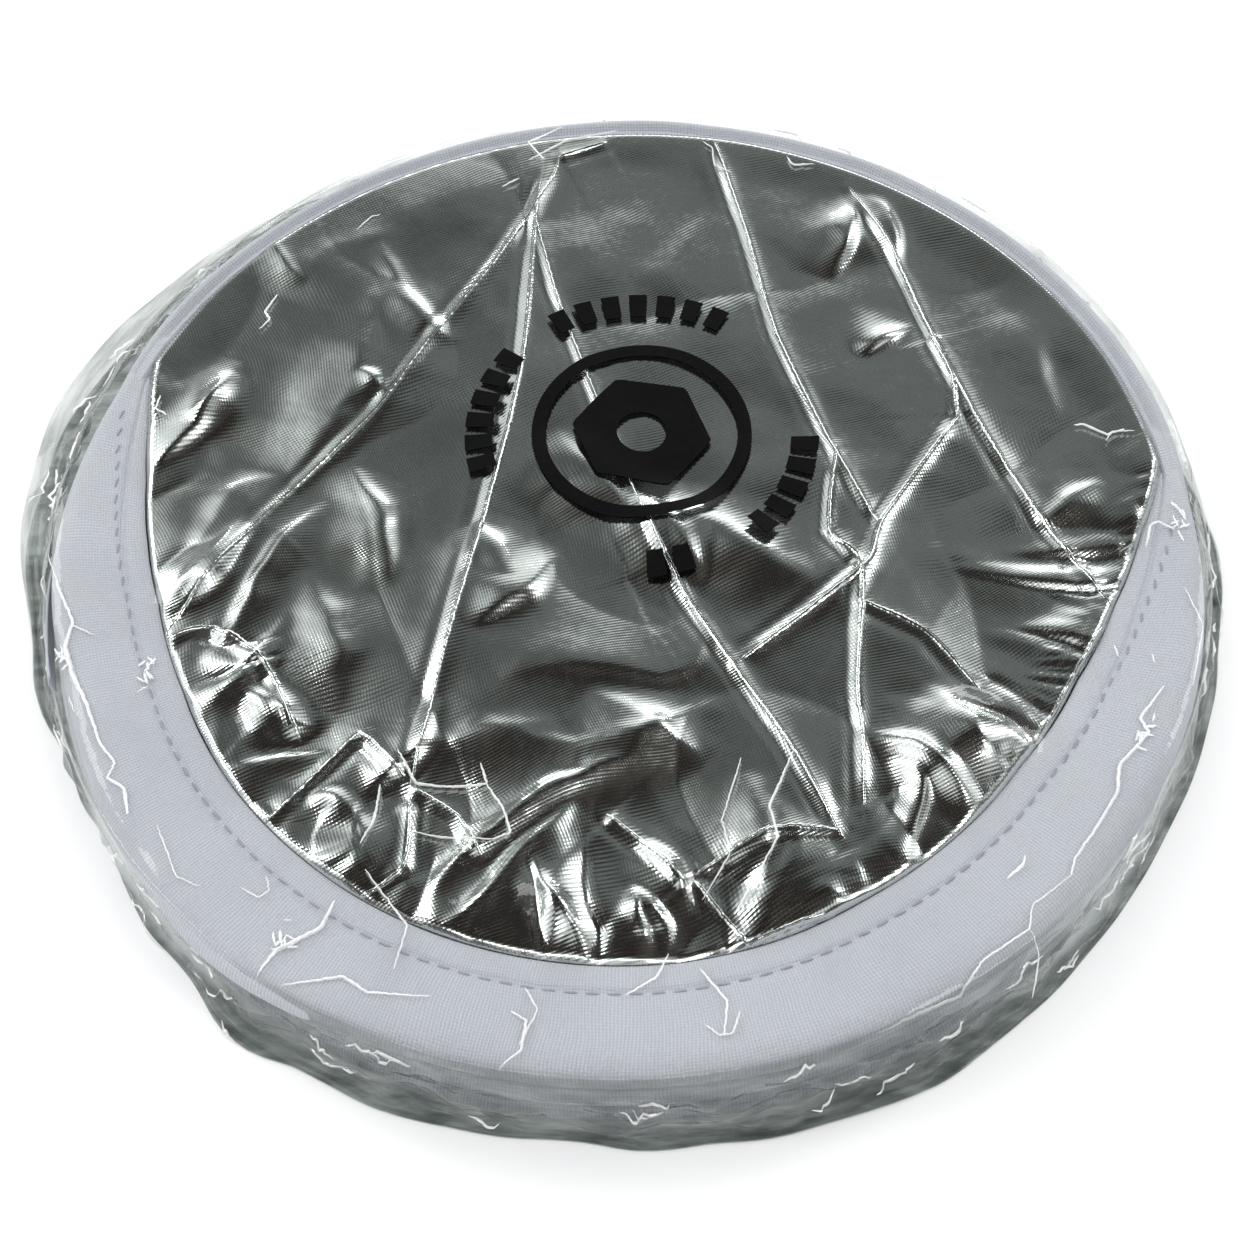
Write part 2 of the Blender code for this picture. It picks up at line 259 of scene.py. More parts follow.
class Nodes:
    """Short calls for building the nodes of a material or of the world."""

    def __init__(self, owner):
        owner.use_nodes = True
        self.material = owner
        self.tree = owner.node_tree

    def add(self, kind, **values):
        node = self.tree.nodes.new(kind)
        for key, value in values.items():
            if key in node.inputs:
                self.put(node.inputs[key], value)
            else:
                setattr(node, key, value)
        return node

    def put(self, socket, value):
        if isinstance(value, bpy.types.NodeSocket):
            self.tree.links.new(value, socket)
        else:
            socket.default_value = value

    def principled(self, **values):
        shader = self.tree.nodes["Principled BSDF"]
        for key, value in values.items():
            self.put(shader.inputs[key.replace("_", " ")], value)

    def math(self, operation, a, b=0.0, c=0.0):
        node = self.tree.nodes.new("ShaderNodeMath")
        node.operation = operation
        self.put(node.inputs[0], a)
        self.put(node.inputs[1], b)
        self.put(node.inputs[2], c)
        return node.outputs[0]

    def vector(self, operation, first, second=None, output="Vector"):
        node = self.add("ShaderNodeVectorMath", operation=operation)
        self.put(node.inputs[0], first)
        if second is not None:
            self.put(node.inputs["Scale" if operation == "SCALE" else 1], second)
        return node.outputs[output]

    def place(self, kind="Object"):
        return self.add("ShaderNodeTexCoord").outputs[kind]

    def weave_place(self):
        return self.add("ShaderNodeUVMap", uv_map="weave").outputs["UV"]

    def split(self, vector):
        node = self.add("ShaderNodeSeparateXYZ")
        self.put(node.inputs[0], vector)
        return node.outputs[0], node.outputs[1], node.outputs[2]

    def noise(self, vector, scale, detail=2.0, roughness=0.5):
        node = self.add("ShaderNodeTexNoise", Scale=scale, Detail=detail, Roughness=roughness)
        self.put(node.inputs["Vector"], vector)
        return node.outputs["Fac"]

    def ramp(self, value, low, high):
        """A colour that goes from low to high as value goes from 0 to 1."""
        node = self.add("ShaderNodeMix", data_type="RGBA")
        self.put(node.inputs[0], value)
        self.put(node.inputs[6], (*low, 1))
        self.put(node.inputs[7], (*high, 1))
        return node.outputs[2]

    def span(self, value, low, high):
        return self.map_range(value, (0, 1, low, high), "LINEAR")

    def map_range(self, value, numbers, way="SMOOTHSTEP"):
        """From the first two of four numbers to the last two."""
        node = self.add("ShaderNodeMapRange", interpolation_type=way)
        self.put(node.inputs[0], value)
        for k, number in enumerate(numbers):
            node.inputs[k + 1].default_value = number
        return node.outputs[0]

    def stripes(self, coordinate, pitch):
        """0 to 1 and back once every pitch metres."""
        wave = self.math("SINE", self.math("MULTIPLY", coordinate, 2 * math.pi / pitch))
        return self.math("MULTIPLY_ADD", wave, 0.5, 0.5)

    def bump(self, height, distance, strength=1.0, onto=None):
        node = self.add("ShaderNodeBump", Distance=distance, Strength=strength)
        self.put(node.inputs["Height"], height)
        if onto is not None:
            self.put(node.inputs["Normal"], onto)
        return node.outputs[0]


def new_material(name):
    return Nodes(bpy.data.materials.new(name))


def silver_cloth_material():
    """Metallised cloth: a mirror with fine ribs across it, so highlights break up into lines."""
    m = new_material("silver_cloth")
    u, v, _ = m.split(m.weave_place())
    drift = m.math("MULTIPLY", m.noise(m.weave_place(), 24.0, 1.0), 16 * MM)
    across = m.math("SUBTRACT", m.math("MULTIPLY", v, 0.94), m.math("MULTIPLY", u, 0.34))
    along = m.math("ADD", m.math("MULTIPLY", u, 0.94), m.math("MULTIPLY", v, 0.34))
    ribs = m.stripes(m.math("ADD", across, drift), 0.64 * MM)
    picks = m.stripes(m.math("ADD", along, drift), 0.55 * MM)
    slubs = m.noise(m.weave_place(), 700.0, 2.0)
    threads = m.math("MULTIPLY_ADD", picks, 0.22, m.math("MULTIPLY", ribs, slubs))
    cloudy = m.noise(m.place(), 45.0, 3.0)
    thread_bump = m.bump(threads, 0.025 * MM, 1.0)
    dents = m.bump(m.noise(m.place(), 110.0, 2.0, 0.5), 0.4 * MM, 0.2, thread_bump)
    m.principled(
        Base_Color=m.ramp(cloudy, (0.68, 0.71, 0.70), (0.82, 0.84, 0.82)),
        Metallic=1.0,
        Roughness=m.span(cloudy, 0.10, 0.15),
        Normal=dents,
    )
    return m.material


def white_cloth_material():
    m = new_material("white_cloth")
    u, v, _ = m.split(m.weave_place())
    threads = m.math("MAXIMUM", m.stripes(u, 0.55 * MM), m.stripes(v, 0.55 * MM))
    cloudy = m.noise(m.place(), 60.0, 3.0)
    m.principled(
        Base_Color=m.ramp(cloudy, (0.62, 0.62, 0.63), (0.74, 0.74, 0.73)),
        Roughness=m.span(cloudy, 0.75, 0.9),
        Sheen_Weight=0.25,
        Normal=m.bump(threads, 0.06 * MM, 0.5),
    )
    return m.material


def tape_material():
    """Knitted binding tape: fine ribs across it, crossed by fainter rows along it."""
    m = new_material("binding_tape")
    u, v, _ = m.split(m.weave_place())
    wander = m.math("MULTIPLY", m.noise(m.weave_place(), 60.0, 1.0), 3 * MM)
    ribs = m.stripes(m.math("ADD", u, wander), 0.62 * MM)
    rows = m.stripes(m.math("ADD", v, wander), 0.55 * MM)
    uneven = m.noise(m.weave_place(), 420.0, 3.0, 0.65)
    knit = m.math("MULTIPLY", m.math("MULTIPLY_ADD", rows, 0.55, ribs), uneven)
    fuzz = m.noise(m.place(), 1800.0, 2.0)
    cloudy = m.noise(m.place(), 38.0, 3.0)
    tone = m.math("MULTIPLY_ADD", knit, 0.75, m.math("MULTIPLY", cloudy, 0.35))
    height = m.math("MULTIPLY_ADD", fuzz, 0.4, knit)
    m.principled(
        Base_Color=m.ramp(tone, (0.37, 0.38, 0.43), (0.60, 0.61, 0.66)),
        Roughness=m.span(fuzz, 0.78, 0.95),
        Sheen_Weight=0.3,
        Sheen_Roughness=0.5,
        Normal=m.bump(height, 0.20 * MM, 1.0),
    )
    return m.material


def thread_material():
    m = new_material("seam_thread")
    # The thread is darker than the tape round it: painted shade, for the dark dashes of the stitch
    # holes and groove.
    twist = m.noise(m.place(), 2600.0, 2.0)
    m.principled(
        Base_Color=m.ramp(twist, (0.25, 0.255, 0.30), (0.40, 0.41, 0.47)),
        Roughness=m.span(twist, 0.6, 0.8),
        Normal=m.bump(twist, 0.08 * MM, 0.6),
    )
    return m.material


def steel_material(name, low, high, roughness):
    m = new_material(name)
    grain = m.noise(m.place(), 700.0, 4.0, 0.6)
    m.principled(
        Base_Color=m.ramp(grain, low, high),
        Metallic=1.0,
        Roughness=m.span(grain, roughness - 0.08, roughness + 0.1),
        Normal=m.bump(grain, 0.03 * MM, 0.4),
    )
    return m.material


def film_nodes(name, clear_colour, margin_shade_colours, roughness):
    """What both film materials share: their nodes, a clear shader and a gloss shader.

    The film is clear over the disc, and tinted in streaks outside the margin's radius, which is a
    little smaller on the near side. The tint is painted shade: it greys the lower loops' side and
    the floor seen through the margin, and reaches further in on the near side.
    """
    m = new_material(name)
    m.tree.nodes.remove(m.tree.nodes["Principled BSDF"])
    waves = m.noise(m.place(), 120.0, 3.0, 0.6)
    normal = m.bump(waves, 0.5 * MM, 0.3)
    across = m.vector("LENGTH", m.vector("MULTIPLY", m.place(), (1, 1, 0)), output="Value")
    _, along_y, _ = m.split(m.place())
    # The margin starts further in on the near side, so the painted shade covers more of it there.
    near_side = m.map_range(along_y, (-70 * MM, -95 * MM, 0, 1.3 * MM))
    margin = m.map_range(m.math("ADD", across, near_side), (104.4 * MM, 107.2 * MM, 0, 1))
    stretched = m.vector("MULTIPLY", m.weave_place(), (0.28, 1, 1))
    # Streaks of painted shade that run along the rim, across the margin.
    streaked_shade = m.math("MULTIPLY_ADD", m.noise(stretched, 260.0, 4.0, 0.6), 3.2, -1.1)
    shade = m.ramp(m.math("MINIMUM", m.math("MAXIMUM", streaked_shade, 0.0), 1.0), *margin_shade_colours)
    tint = m.add("ShaderNodeMix", data_type="RGBA")
    m.put(tint.inputs[0], margin)
    m.put(tint.inputs[6], (*clear_colour, 1))
    m.put(tint.inputs[7], shade)
    clear = m.add("ShaderNodeBsdfTransparent", Color=tint.outputs[2])
    gloss = m.add("ShaderNodeBsdfGlossy", Color=(1, 1, 1, 1), Roughness=roughness, Normal=normal)
    return m, clear, gloss, normal


def mix_shaders(m, share, first, second):
    mix = m.add("ShaderNodeMixShader")
    m.put(mix.inputs[0], share)
    m.put(mix.inputs[1], first.outputs[0])
    m.put(mix.inputs[2], second.outputs[0])
    return mix


def finish_film(m, share, clear, other):
    mix = mix_shaders(m, share, clear, other)
    m.put(m.tree.nodes["Material Output"].inputs["Surface"], mix.outputs[0])
    return m.material


def film_material():
    """Clear film: almost nothing but its gloss; greyer in streaks where it bunches in its margin,
    mostly painted shade.
    """
    # The margin's colours: painted shade, from grey to pale grey.
    margin = ((0.40, 0.43, 0.42), (0.78, 0.80, 0.79))
    m, clear, gloss, normal = film_nodes("clear_film", (0.95, 0.96, 0.955), margin, 0.06)
    facing = m.add("ShaderNodeLayerWeight", Blend=0.5, Normal=normal)
    grazing = m.math("POWER", facing.outputs["Facing"], 4.0)
    share = m.math("MULTIPLY_ADD", grazing, 0.55, 0.03)
    return finish_film(m, share, clear, gloss)


def film_fold_material():
    """A sharp fold in the film, drawn as a white line: its white diffuse is a painted glint."""
    # The margin's colours: painted shade, paler than on the clear film.
    margin = ((0.8, 0.82, 0.81), (0.9, 0.92, 0.91))
    m, clear, gloss, _ = film_nodes("film_fold", (0.95, 0.96, 0.955), margin, 0.2)
    glint_patches = m.noise(m.place(), 800.0, 3.0, 0.6)
    # Mostly white diffuse in place of the fold's glints: a painted glint, stronger in patches along
    # it.
    white = m.add("ShaderNodeBsdfDiffuse", Color=(0.97, 0.97, 0.97, 1))
    lit = mix_shaders(m, 0.2, white, gloss)
    return finish_film(m, m.span(glint_patches, 0.55, 1.0), clear, lit)


def ink_material():
    m = new_material("black_ink")
    speck = m.noise(m.place(), 900.0, 3.0)
    m.principled(
        Base_Color=m.ramp(speck, (0.002, 0.002, 0.0025), (0.005, 0.005, 0.0055)),
        Roughness=m.span(speck, 0.45, 0.6),
        Specular_IOR_Level=0.05,
        Normal=m.bump(speck, 0.02 * MM, 0.3),
    )
    return m.material


def floor_material():
    m = new_material("pale_floor")
    soft = m.noise(m.place(), 3.0, 2.0)
    m.principled(
        Base_Color=m.ramp(soft, (0.93, 0.93, 0.935), (0.95, 0.95, 0.955)),
        Roughness=0.9,
    )
    return m.material


MATERIALS = {
    "silver_cloth": silver_cloth_material(),
    "white_cloth": white_cloth_material(),
    "binding_tape": tape_material(),
    "seam_thread": thread_material(),
    "spring_steel": steel_material("spring_steel", (0.22, 0.23, 0.26), (0.34, 0.35, 0.37), 0.32),
    "sleeve_metal": steel_material("sleeve_metal", (0.50, 0.50, 0.52), (0.64, 0.64, 0.65), 0.38),
    "clear_film": film_material(),
    "film_fold": film_fold_material(),
    "black_ink": ink_material(),
}


def paint(made, slot):
    made.data.materials.clear()
    made.data.materials.append(MATERIALS[slot])


# ---------------------------------------------------------------- cloth

# Creases pressed into the top silver cloth while the disc lay folded: points in millimetres,
# height, and how far the slope reaches on the line's left and on its right
CREASES = [
    ([(-10, 93), (-12, 86), (-23, 66), (-35, 48), (-46, 30), (-65, 8), (-83, -18)], 1.0, 1.3, 2.4),
    ([(-13, 92), (-15, 76), (-18, 41), (-25, 7), (-32, -22), (-38, -50)], 0.9, 2.2, 1.2),
    ([(-15, 78), (-11, 57), (-4, 31), (3, 7)], 0.8, 1.2, 2.0),
    ([(3, 7), (11, -15), (26, -44), (34, -64)], 1.0, 1.2, 4.0),
    ([(22, 96), (27, 71), (31, 45), (39, 19), (46, 0)], 1.0, 1.2, 2.2),
    ([(48, 82), (55, 66), (60, 46), (66, 25), (70, 14), (77, -4), (86, -21)], 1.0, 1.3, 2.0),
    ([(63, 23), (47, 1), (43, -9), (31, -19), (19, -28)], 1.1, 1.3, 1.8),
    ([(60, 43), (63, 33), (63, 23)], 0.6, 1.0, 1.6),
    ([(40, 18), (37, -1), (42, -9), (39, -34), (39, -43), (38, -58)], 0.8, 1.4, 1.2),
    ([(9, -69), (22, -62), (33, -62)], 0.8, 1.4, 1.0),
    ([(9, -70), (17, -82)], 0.8, 1.3, 1.6),
    ([(17, -82), (27, -78), (38, -77)], 0.8, 1.2, 1.6),
    ([(-5, -57), (2, -64), (8, -71)], 1.0, 1.2, 3.0),
    ([(-63, -56), (-49, -41), (-46, -40), (-39, -48)], 0.9, 1.6, 2.4),
    ([(-48, -71), (-39, -65), (-38, -52)], 0.8, 1.3, 1.6),
    ([(-38, -50), (-30, -56), (-26, -64)], 0.7, 1.2, 1.8),
    ([(-83, -18), (-74, -16), (-64, -24), (-57, -40)], 0.8, 1.3, 2.0),
    ([(-10, 93), (0, 97)], 0.8, 1.2, 2.0),
    ([(86, -21), (79, -30), (70, -44)], 0.7, 1.2, 1.2),
    ([(41, -17), (52, -24), (60, -36)], 0.6, 1.2, 2.2),
]
# Rounded folds, the same way, with a height and a half width
ROLLS = [
    ([(-51, 20), (-45, 9), (-43, 0), (-42, -10)], 1.7, 3.6),
    ([(-72, 46), (-80, 32), (-86, 20), (-87, 12)], 1.7, 3.4),
    ([(-86, 42), (-89, 34), (-91, 26)], 1.1, 2.2), ([(-68, 6), (-75, -4), (-84, -12)], 1.6, 3.4),
    ([(-12, -3), (-19, -12), (-26, -21)], 1.7, 3.2),
    ([(-45, 60), (-51, 40), (-55, 29), (-63, 16)], 0.9, 5.5),
    ([(-46, 72), (-42, 64), (-37, 54), (-30, 45)], 1.4, 3.0),
    ([(-50, 40), (-47, 37), (-45, 33)], 1.0, 1.8), ([(48, 81), (45, 70), (42, 59)], 1.8, 3.0),
    ([(49, 80), (54, 75), (56, 67), (55, 59)], 1.2, 2.2),
    ([(57, 48), (52, 43), (46, 38)], 1.3, 2.8), ([(76, -3), (82, 3), (88, 9)], 1.0, 2.6),
    ([(93, 4), (94, -2), (92, -7)], 0.9, 1.8), ([(88, -3), (90, -10), (86, -16)], 1.0, 2.0),
    ([(38, -42), (50, -50), (59, -62)], 1.8, 2.8),
    ([(41, -49), (47, -55), (43, -66), (41, -76)], 1.4, 2.4),
    ([(50, -36), (57, -44), (63, -54)], 1.9, 4.2), ([(31, -70), (33, -74), (33, -80)], 1.3, 2.4),
    ([(-13, 26), (-7, 17), (-1, 9), (4, -1)], 1.5, 4.0),
    ([(2, 9), (11, 3), (21, -3), (34, -12)], 1.9, 5.0),
    ([(-25, 5), (-22, -2), (-20, -9)], 1.2, 2.4), ([(-8, -34), (1, -40), (12, -49)], 1.9, 5.5),
    ([(-38, -73), (-29, -63), (-21, -56), (-10, -51), (0, -48)], 2.0, 2.6),
    ([(-35, -77), (-26, -70), (-19, -64), (-10, -56)], 1.7, 2.3),
    ([(-17, -65), (-15, -75), (-10, -84)], 1.8, 2.8), ([(-2, -72), (-2, -78), (0, -84)], 1.2, 1.8),
    ([(3, -64), (6, -70), (9, -76)], 1.4, 2.6), ([(-68, -28), (-62, -31), (-55, -39)], 1.7, 4.4),
    ([(-40, -74), (-34, -77), (-27, -79)], 1.2, 2.0),
    ([(-56, -52), (-49, -52), (-43, -60)], 1.3, 3.0),
    ([(-34, -34), (-36, -44), (-44, -52)], 1.2, 3.2), ([(-80, 0), (-72, 12), (-62, 18)], 1.0, 5.0),
    ([(-58, -6), (-50, -22), (-52, -34)], 1.3, 5.0),
    ([(16, -22), (6, -30), (-10, -28), (-24, -32)], 1.3, 4.5),
    ([(-22, -42), (-10, -46), (4, -42), (16, -34)], 1.2, 4.0),
    ([(60, -60), (52, -66), (48, -74)], 1.4, 2.6), ([(70, -48), (64, -46), (58, -50)], 1.3, 3.0),
    ([(18, -50), (22, -60), (20, -72)], 1.2, 4.0), ([(2, 60), (12, 66), (20, 78)], 0.5, 7.0),
    ([(-64, 60), (-54, 70), (-40, 76)], 0.6, 6.0), ([(74, 50), (80, 36), (82, 22)], 0.6, 6.0),
    ([(52, -6), (64, -10), (72, -20)], 0.6, 7.0), ([(-84, -10), (-77, -2), (-69, 8)], 1.2, 2.2),
    ([(-75, -25), (-69, -13), (-64, -3), (-55, 13)], 1.2, 2.4),
    ([(-77, -40), (-74, -30), (-65, -23), (-61, -14)], 1.0, 2.4),
    ([(-72, -45), (-62, -44), (-52, -43)], 0.9, 2.2),
    ([(-37, -45), (-28, -42), (-13, -41)], 0.9, 4.0), ([(-3, -72), (3, -79), (2, -84)], 1.4, 2.0),
    ([(-83, 31), (-78, 35), (-73, 43)], 1.3, 2.2), ([(-66, 84), (-65, 71), (-59, 63)], 1.2, 2.4),
    ([(3, 12), (7, 3), (12, -6), (13, -13)], 1.3, 2.6),
]


def crease_height(x, y, line, height, left, right):
    """A sharp pressed fold: it falls away on both sides, with a shallow valley on the right."""
    signed, share = line_distance(x, y, np.asarray(line) * MM)
    reach = np.where(signed > 0, left, right) * MM
    rounding = 0.18 * MM
    fall = (np.sqrt(signed**2 + rounding**2) - rounding) / reach
    ends = 0.3 + 0.7 * smoothstep(0, 0.08, share) * smoothstep(0, 0.08, 1 - share)
    valley = 0.30 * np.exp(-(((np.abs(signed) - 2.0 * MM) / (1.1 * MM)) ** 2)) * (signed < 0)
    slope = 0.62 * np.exp(-fall) + 0.38 * np.exp(-fall / 7)
    return 0.9 * height * MM * ends * (slope - valley)


def roll_height(x, y, line, height, half_width):
    """A rounded fold, steep on one side and long on the other, that fades out at both ends."""
    curve = spline(np.asarray(line) * MM, 14)
    middle = np.hypot(*curve.mean(axis=0))
    calm = smoothstep(72 * MM, 40 * MM, middle)
    half_width = half_width * (1 + 0.15 * calm)
    signed, share = line_distance(x, y, curve)
    ends = np.maximum(np.sin(math.pi * share), 0) ** 1.2
    lean = np.where(signed > 0, 0.62, 1.7)
    width = half_width * MM * lean * (0.55 + 0.45 * ends)
    return height * MM * ends / (1 + (signed / width) ** 2) ** 1.3


def gathers(x, y, rim, seed, first, last, height, pitch, length):
    """Pleats that run in from the rim between two angles: round tops, sharp valleys between."""
    radius = np.hypot(x, y)
    turn = np.mod(np.arctan2(y, x) - math.pi / 2, FULL_TURN)
    arc = turn * rim
    inward = rim - radius
    slant = 1.1 * smooth_noise(arc, 0 * arc, 26 * MM, seed)
    drift = 2.5 * MM * smooth_noise(x, y, 9 * MM, seed + 1)
    across = arc + slant * inward + drift
    pleat = np.abs(smooth_noise(across, 0.28 * inward, pitch, seed + 2)) ** 0.85
    reach = length * (1 + 0.75 * smooth_noise(arc, 0 * arc, 13 * MM, seed + 3))
    fade = smoothstep(reach, 0.1 * reach, inward)
    degrees = np.mod(np.degrees(turn) + 90 - first, 360)
    between = smoothstep(0, 14, degrees) * smoothstep(0, 14, last - first - degrees)
    return height * pleat * fade * between


def turn_table(angle, table):
    """A value for each angle from a table of (degrees, value) that goes once round."""
    degrees = np.mod(np.degrees(angle) - table[0][0], 360) + table[0][0]
    places = [row[0] for row in table]
    return np.interp(degrees, places, [row[1] for row in table])


# Inner edge of the top loop's tape round its near side, and of the far strand: degrees, mm
TAPE_INNER_EDGE = [
    (20, 99.8), (140, 99.8), (153, 99.6), (161, 94.0), (169, 90.0), (178, 87.0),
    (187, 84.6), (200, 83.4), (250, 84.0), (274, 84.2), (296, 83.0), (322, 82.6),
    (336, 84.4), (347, 88.0), (357, 93.0), (366, 99.2), (380, 99.8),
]


def tape_inner_edge(angle):
    return turn_table(angle, TAPE_INNER_EDGE) * MM


def top_cloth_rim(angle):
    """The cloth runs under the tape's lip, and stops just short of the hoop."""
    return np.minimum(tape_inner_edge(angle) + 7 * MM, 99.7 * MM)


def top_cloth_height(x, y):
    """The top silver cloth, above the top loop's mid plane."""
    radius = np.hypot(x, y)
    angle = np.arctan2(y, x)
    inner = tape_inner_edge(angle)
    far = smoothstep(90 * MM, 98 * MM, inner)
    height = 0.9 * MM * smooth_noise(x, y, 34 * MM, 3) + 0.32 * MM * smooth_noise(x, y, 15 * MM, 4)
    for line, tall, left, right in CREASES:
        height = height + crease_height(x, y, line, tall, left, right)
    wide_bend = (smooth_noise(x, y, 15 * MM, 6), smooth_noise(x, y, 15 * MM, 8))
    small_bend = (smooth_noise(x, y, 5 * MM, 7), smooth_noise(x, y, 5 * MM, 9))
    bent_x = x + 2.0 * MM * wide_bend[0] + 0.5 * MM * small_bend[0]
    bent_y = y + 2.0 * MM * wide_bend[1] + 0.5 * MM * small_bend[1]
    for line, tall, half_width in ROLLS:
        height = height + roll_height(bent_x, bent_y, line, tall, half_width)
    inside = smoothstep(inner + 2 * MM, inner - 11 * MM, radius)
    wide = gathers(x, y, inner, 11, 188, 362, 3.2 * MM, 10.5 * MM, 20 * MM)
    fine = gathers(x, y, inner, 15, 196, 352, 0.7 * MM, 3.8 * MM, 7 * MM)
    left = gathers(x, y, inner, 19, 150, 204, 1.4 * MM, 7.5 * MM, 15 * MM)
    right = gathers(x, y, inner, 23, 330, 378, 0.9 * MM, 6.0 * MM, 9 * MM)
    panels = np.abs(smooth_noise(x, y, 30 * MM, 27)) ** 0.8
    height = height + wide + fine + left + right + 0.8 * MM * panels
    height = height + 0.07 * MM * smooth_noise(x, y, 6 * MM, 5)
    base = (1.5 - 1.0 * smoothstep(46 * MM, 82 * MM, radius) * (1 - far)) * MM
    base = base + far * 1.1 * MM * smoothstep(70 * MM, 98 * MM, radius)
    level = 0.9 * MM
    height = level + (height - level) * (0.25 + 0.75 * inside)
    edge = smoothstep(inner + 0.5 * MM, inner - 1.0 * MM, radius)
    return base * (0.5 + 0.5 * edge) + height * edge


# Edge of the sheets that are hidden while the disc is packed
PLAIN_CLOTH_RIM = 93.0 * MM


def plain_cloth_height(x, y, rim, seed):
    """The bunched cloth of a loop that is hidden while the disc is packed."""
    draw = np.random.default_rng(seed)
    radius = np.hypot(x, y)
    height = 0.7 * MM * smooth_noise(x, y, 30 * MM, seed)
    height = height + 0.3 * MM * smooth_noise(x, y, 13 * MM, seed + 1)
    for _ in range(9):
        turn = draw.uniform(0, FULL_TURN)
        middle = draw.uniform(-50, 50, 2)
        half = draw.uniform(25, 60)
        bend = draw.uniform(-12, 12)
        step = np.array([math.cos(turn), math.sin(turn)])
        side = np.array([-step[1], step[0]])
        line = [middle - step * half, middle + side * bend, middle + step * half]
        height = height + crease_height(x, y, line, 0.9, draw.uniform(1, 3), draw.uniform(1, 3))
    height = height + gathers(x, y, rim, seed + 2, 0, 374, 2.6 * MM, 7.0 * MM, 22 * MM)
    edge = smoothstep(rim + 6 * MM, rim - 4 * MM, radius)
    return np.minimum(0.5 * MM + height * edge * 0.75, 2.9 * MM)


def cloth(loop, slot, side, count, rim_radius, height_of, with_pieces=()):
    """A sheet of cloth over one loop, on the side of its mid plane that side gives."""
    node = f"{loop}_{slot}"
    x, y = disc_grid(count)
    angle = np.arctan2(y, x)
    rim = rim_radius(angle)
    x, y = x * rim, y * rim
    z = LOOP_Z[loop] + side * height_of(x, y)
    faces = grid_faces(count, count)
    if side < 0:
        faces = faces[:, ::-1]
    made = add_mesh(f"{node}_sheet", np.stack([x, y, z], 1), faces, np.stack([x, y], 1))
    finish_piece(made, f"{loop}_loop", slot, node)


def crease_ridges():
    """The pinched edge of each pressed crease, which stands up as a fine bright line."""

    def surface(x, y):
        return LOOP_Z["top"] + top_cloth_height(x, y)

    lines = [spline(np.asarray(row[0]) * MM, 8 * len(row[0])) for row in CREASES]
    points, faces = rib_mesh(lines, surface, (0.50, 0.80), (0.35, 0.55), 29)
    ridges = add_mesh("top_silver_cloth_ridges", points, faces, points[:, :2])
    return finish_piece(ridges, "top_loop", "silver_cloth")


def loop_cloths():
    fine = 310
    coarse = 150
    cloth("top", "silver_cloth", 1, fine, top_cloth_rim, top_cloth_height, [crease_ridges()])

    def plain_rim(angle):
        return PLAIN_CLOTH_RIM + 0 * angle

    others = [
        ("top", "white_cloth", -1, 41),
        ("middle", "white_cloth", 1, 51),
        ("middle", "silver_cloth", -1, 61),
        ("bottom", "silver_cloth", 1, 71),
        ("bottom", "white_cloth", -1, 81),
    ]
    for loop, slot, side, seed in others:

        def height_of(x, y, seed=seed):
            return plain_cloth_height(x, y, PLAIN_CLOTH_RIM - 6 * MM, seed)

        cloth(loop, slot, side, coarse, plain_rim, height_of)


# ---------------------------------------------------------------- binding tape

# Half of the folded tape's section, from the lip's edge to the middle of the outer rim: share of
# the tape's width, and height above the loop's mid plane in millimetres
TAPE_SECTION = [
    (0.0, 0.95), (0.02, 1.40), (0.08, 1.85), (0.20, 2.15), (0.235, 1.85),
    (0.265, 1.85), (0.30, 2.30), (0.40, 2.60), (0.55, 2.95), (0.70, 3.30),
    (0.84, 3.30), (0.94, 2.45), (0.99, 1.10),
]
TAPE_OUTER = 104.1 * MM
PLAIN_INNER = 84.0 * MM


def tape_outline(inner, outer, full=1.0, count=64):
    """The folded tape's outer face between two radii, open inwards; full scales its height."""
    upper = TAPE_SECTION
    lower = [(share, -z) for share, z in reversed(upper)]
    curve = spline(upper + [(1.0, 0)] + lower, count)
    return np.stack([inner + curve[:, 0] * (outer - inner), curve[:, 1] * MM * full], 1)


def tape_wave(angle, seed):
    """Small changes of radius and height round a loop, which a sewn edge has."""
    x = np.cos(angle) * TAPE_RADIUS
    y = np.sin(angle) * TAPE_RADIUS
    out = 0.35 * MM * smooth_noise(x, y, 28 * MM, seed)
    up = 0.22 * MM * smooth_noise(x, y, 17 * MM, seed + 1)
    return out, up


def swept_tape(name, angles, outlines, closed):
    """A tape swept through an outline (radius, height) for each angle."""
    rows = []
    for angle, outline in zip(angles, outlines):
        tangent = np.gradient(outline, axis=0)
        tangent /= np.maximum(np.hypot(*tangent.T), 1e-9)[:, None]
        inner = outline + np.stack([tangent[:, 1], -tangent[:, 0]], 1) * TAPE_THICKNESS
        ring = np.concatenate([outline, inner[::-1]])
        rows.append(polar_points(ring[:, 0], angle, ring[:, 1]))
    rows = np.array(rows)
    count = rows.shape[1]
    steps = np.hypot(*np.moveaxis(np.diff(outlines, axis=1), 2, 0))
    lengths = np.concatenate([np.zeros((len(angles), 1)), np.cumsum(steps, axis=1)], 1)
    lengths = np.concatenate([lengths, lengths[:, ::-1]], 1)
    turns = np.repeat(np.asarray(angles)[:, None] * TAPE_RADIUS, count, axis=1)
    uv = np.stack([turns, lengths], 2).reshape(-1, 2)
    faces = grid_faces(len(rows), count, wrap_rows=closed, wrap_columns=True)
    return add_mesh(name, rows.reshape(-1, 3), faces, uv)


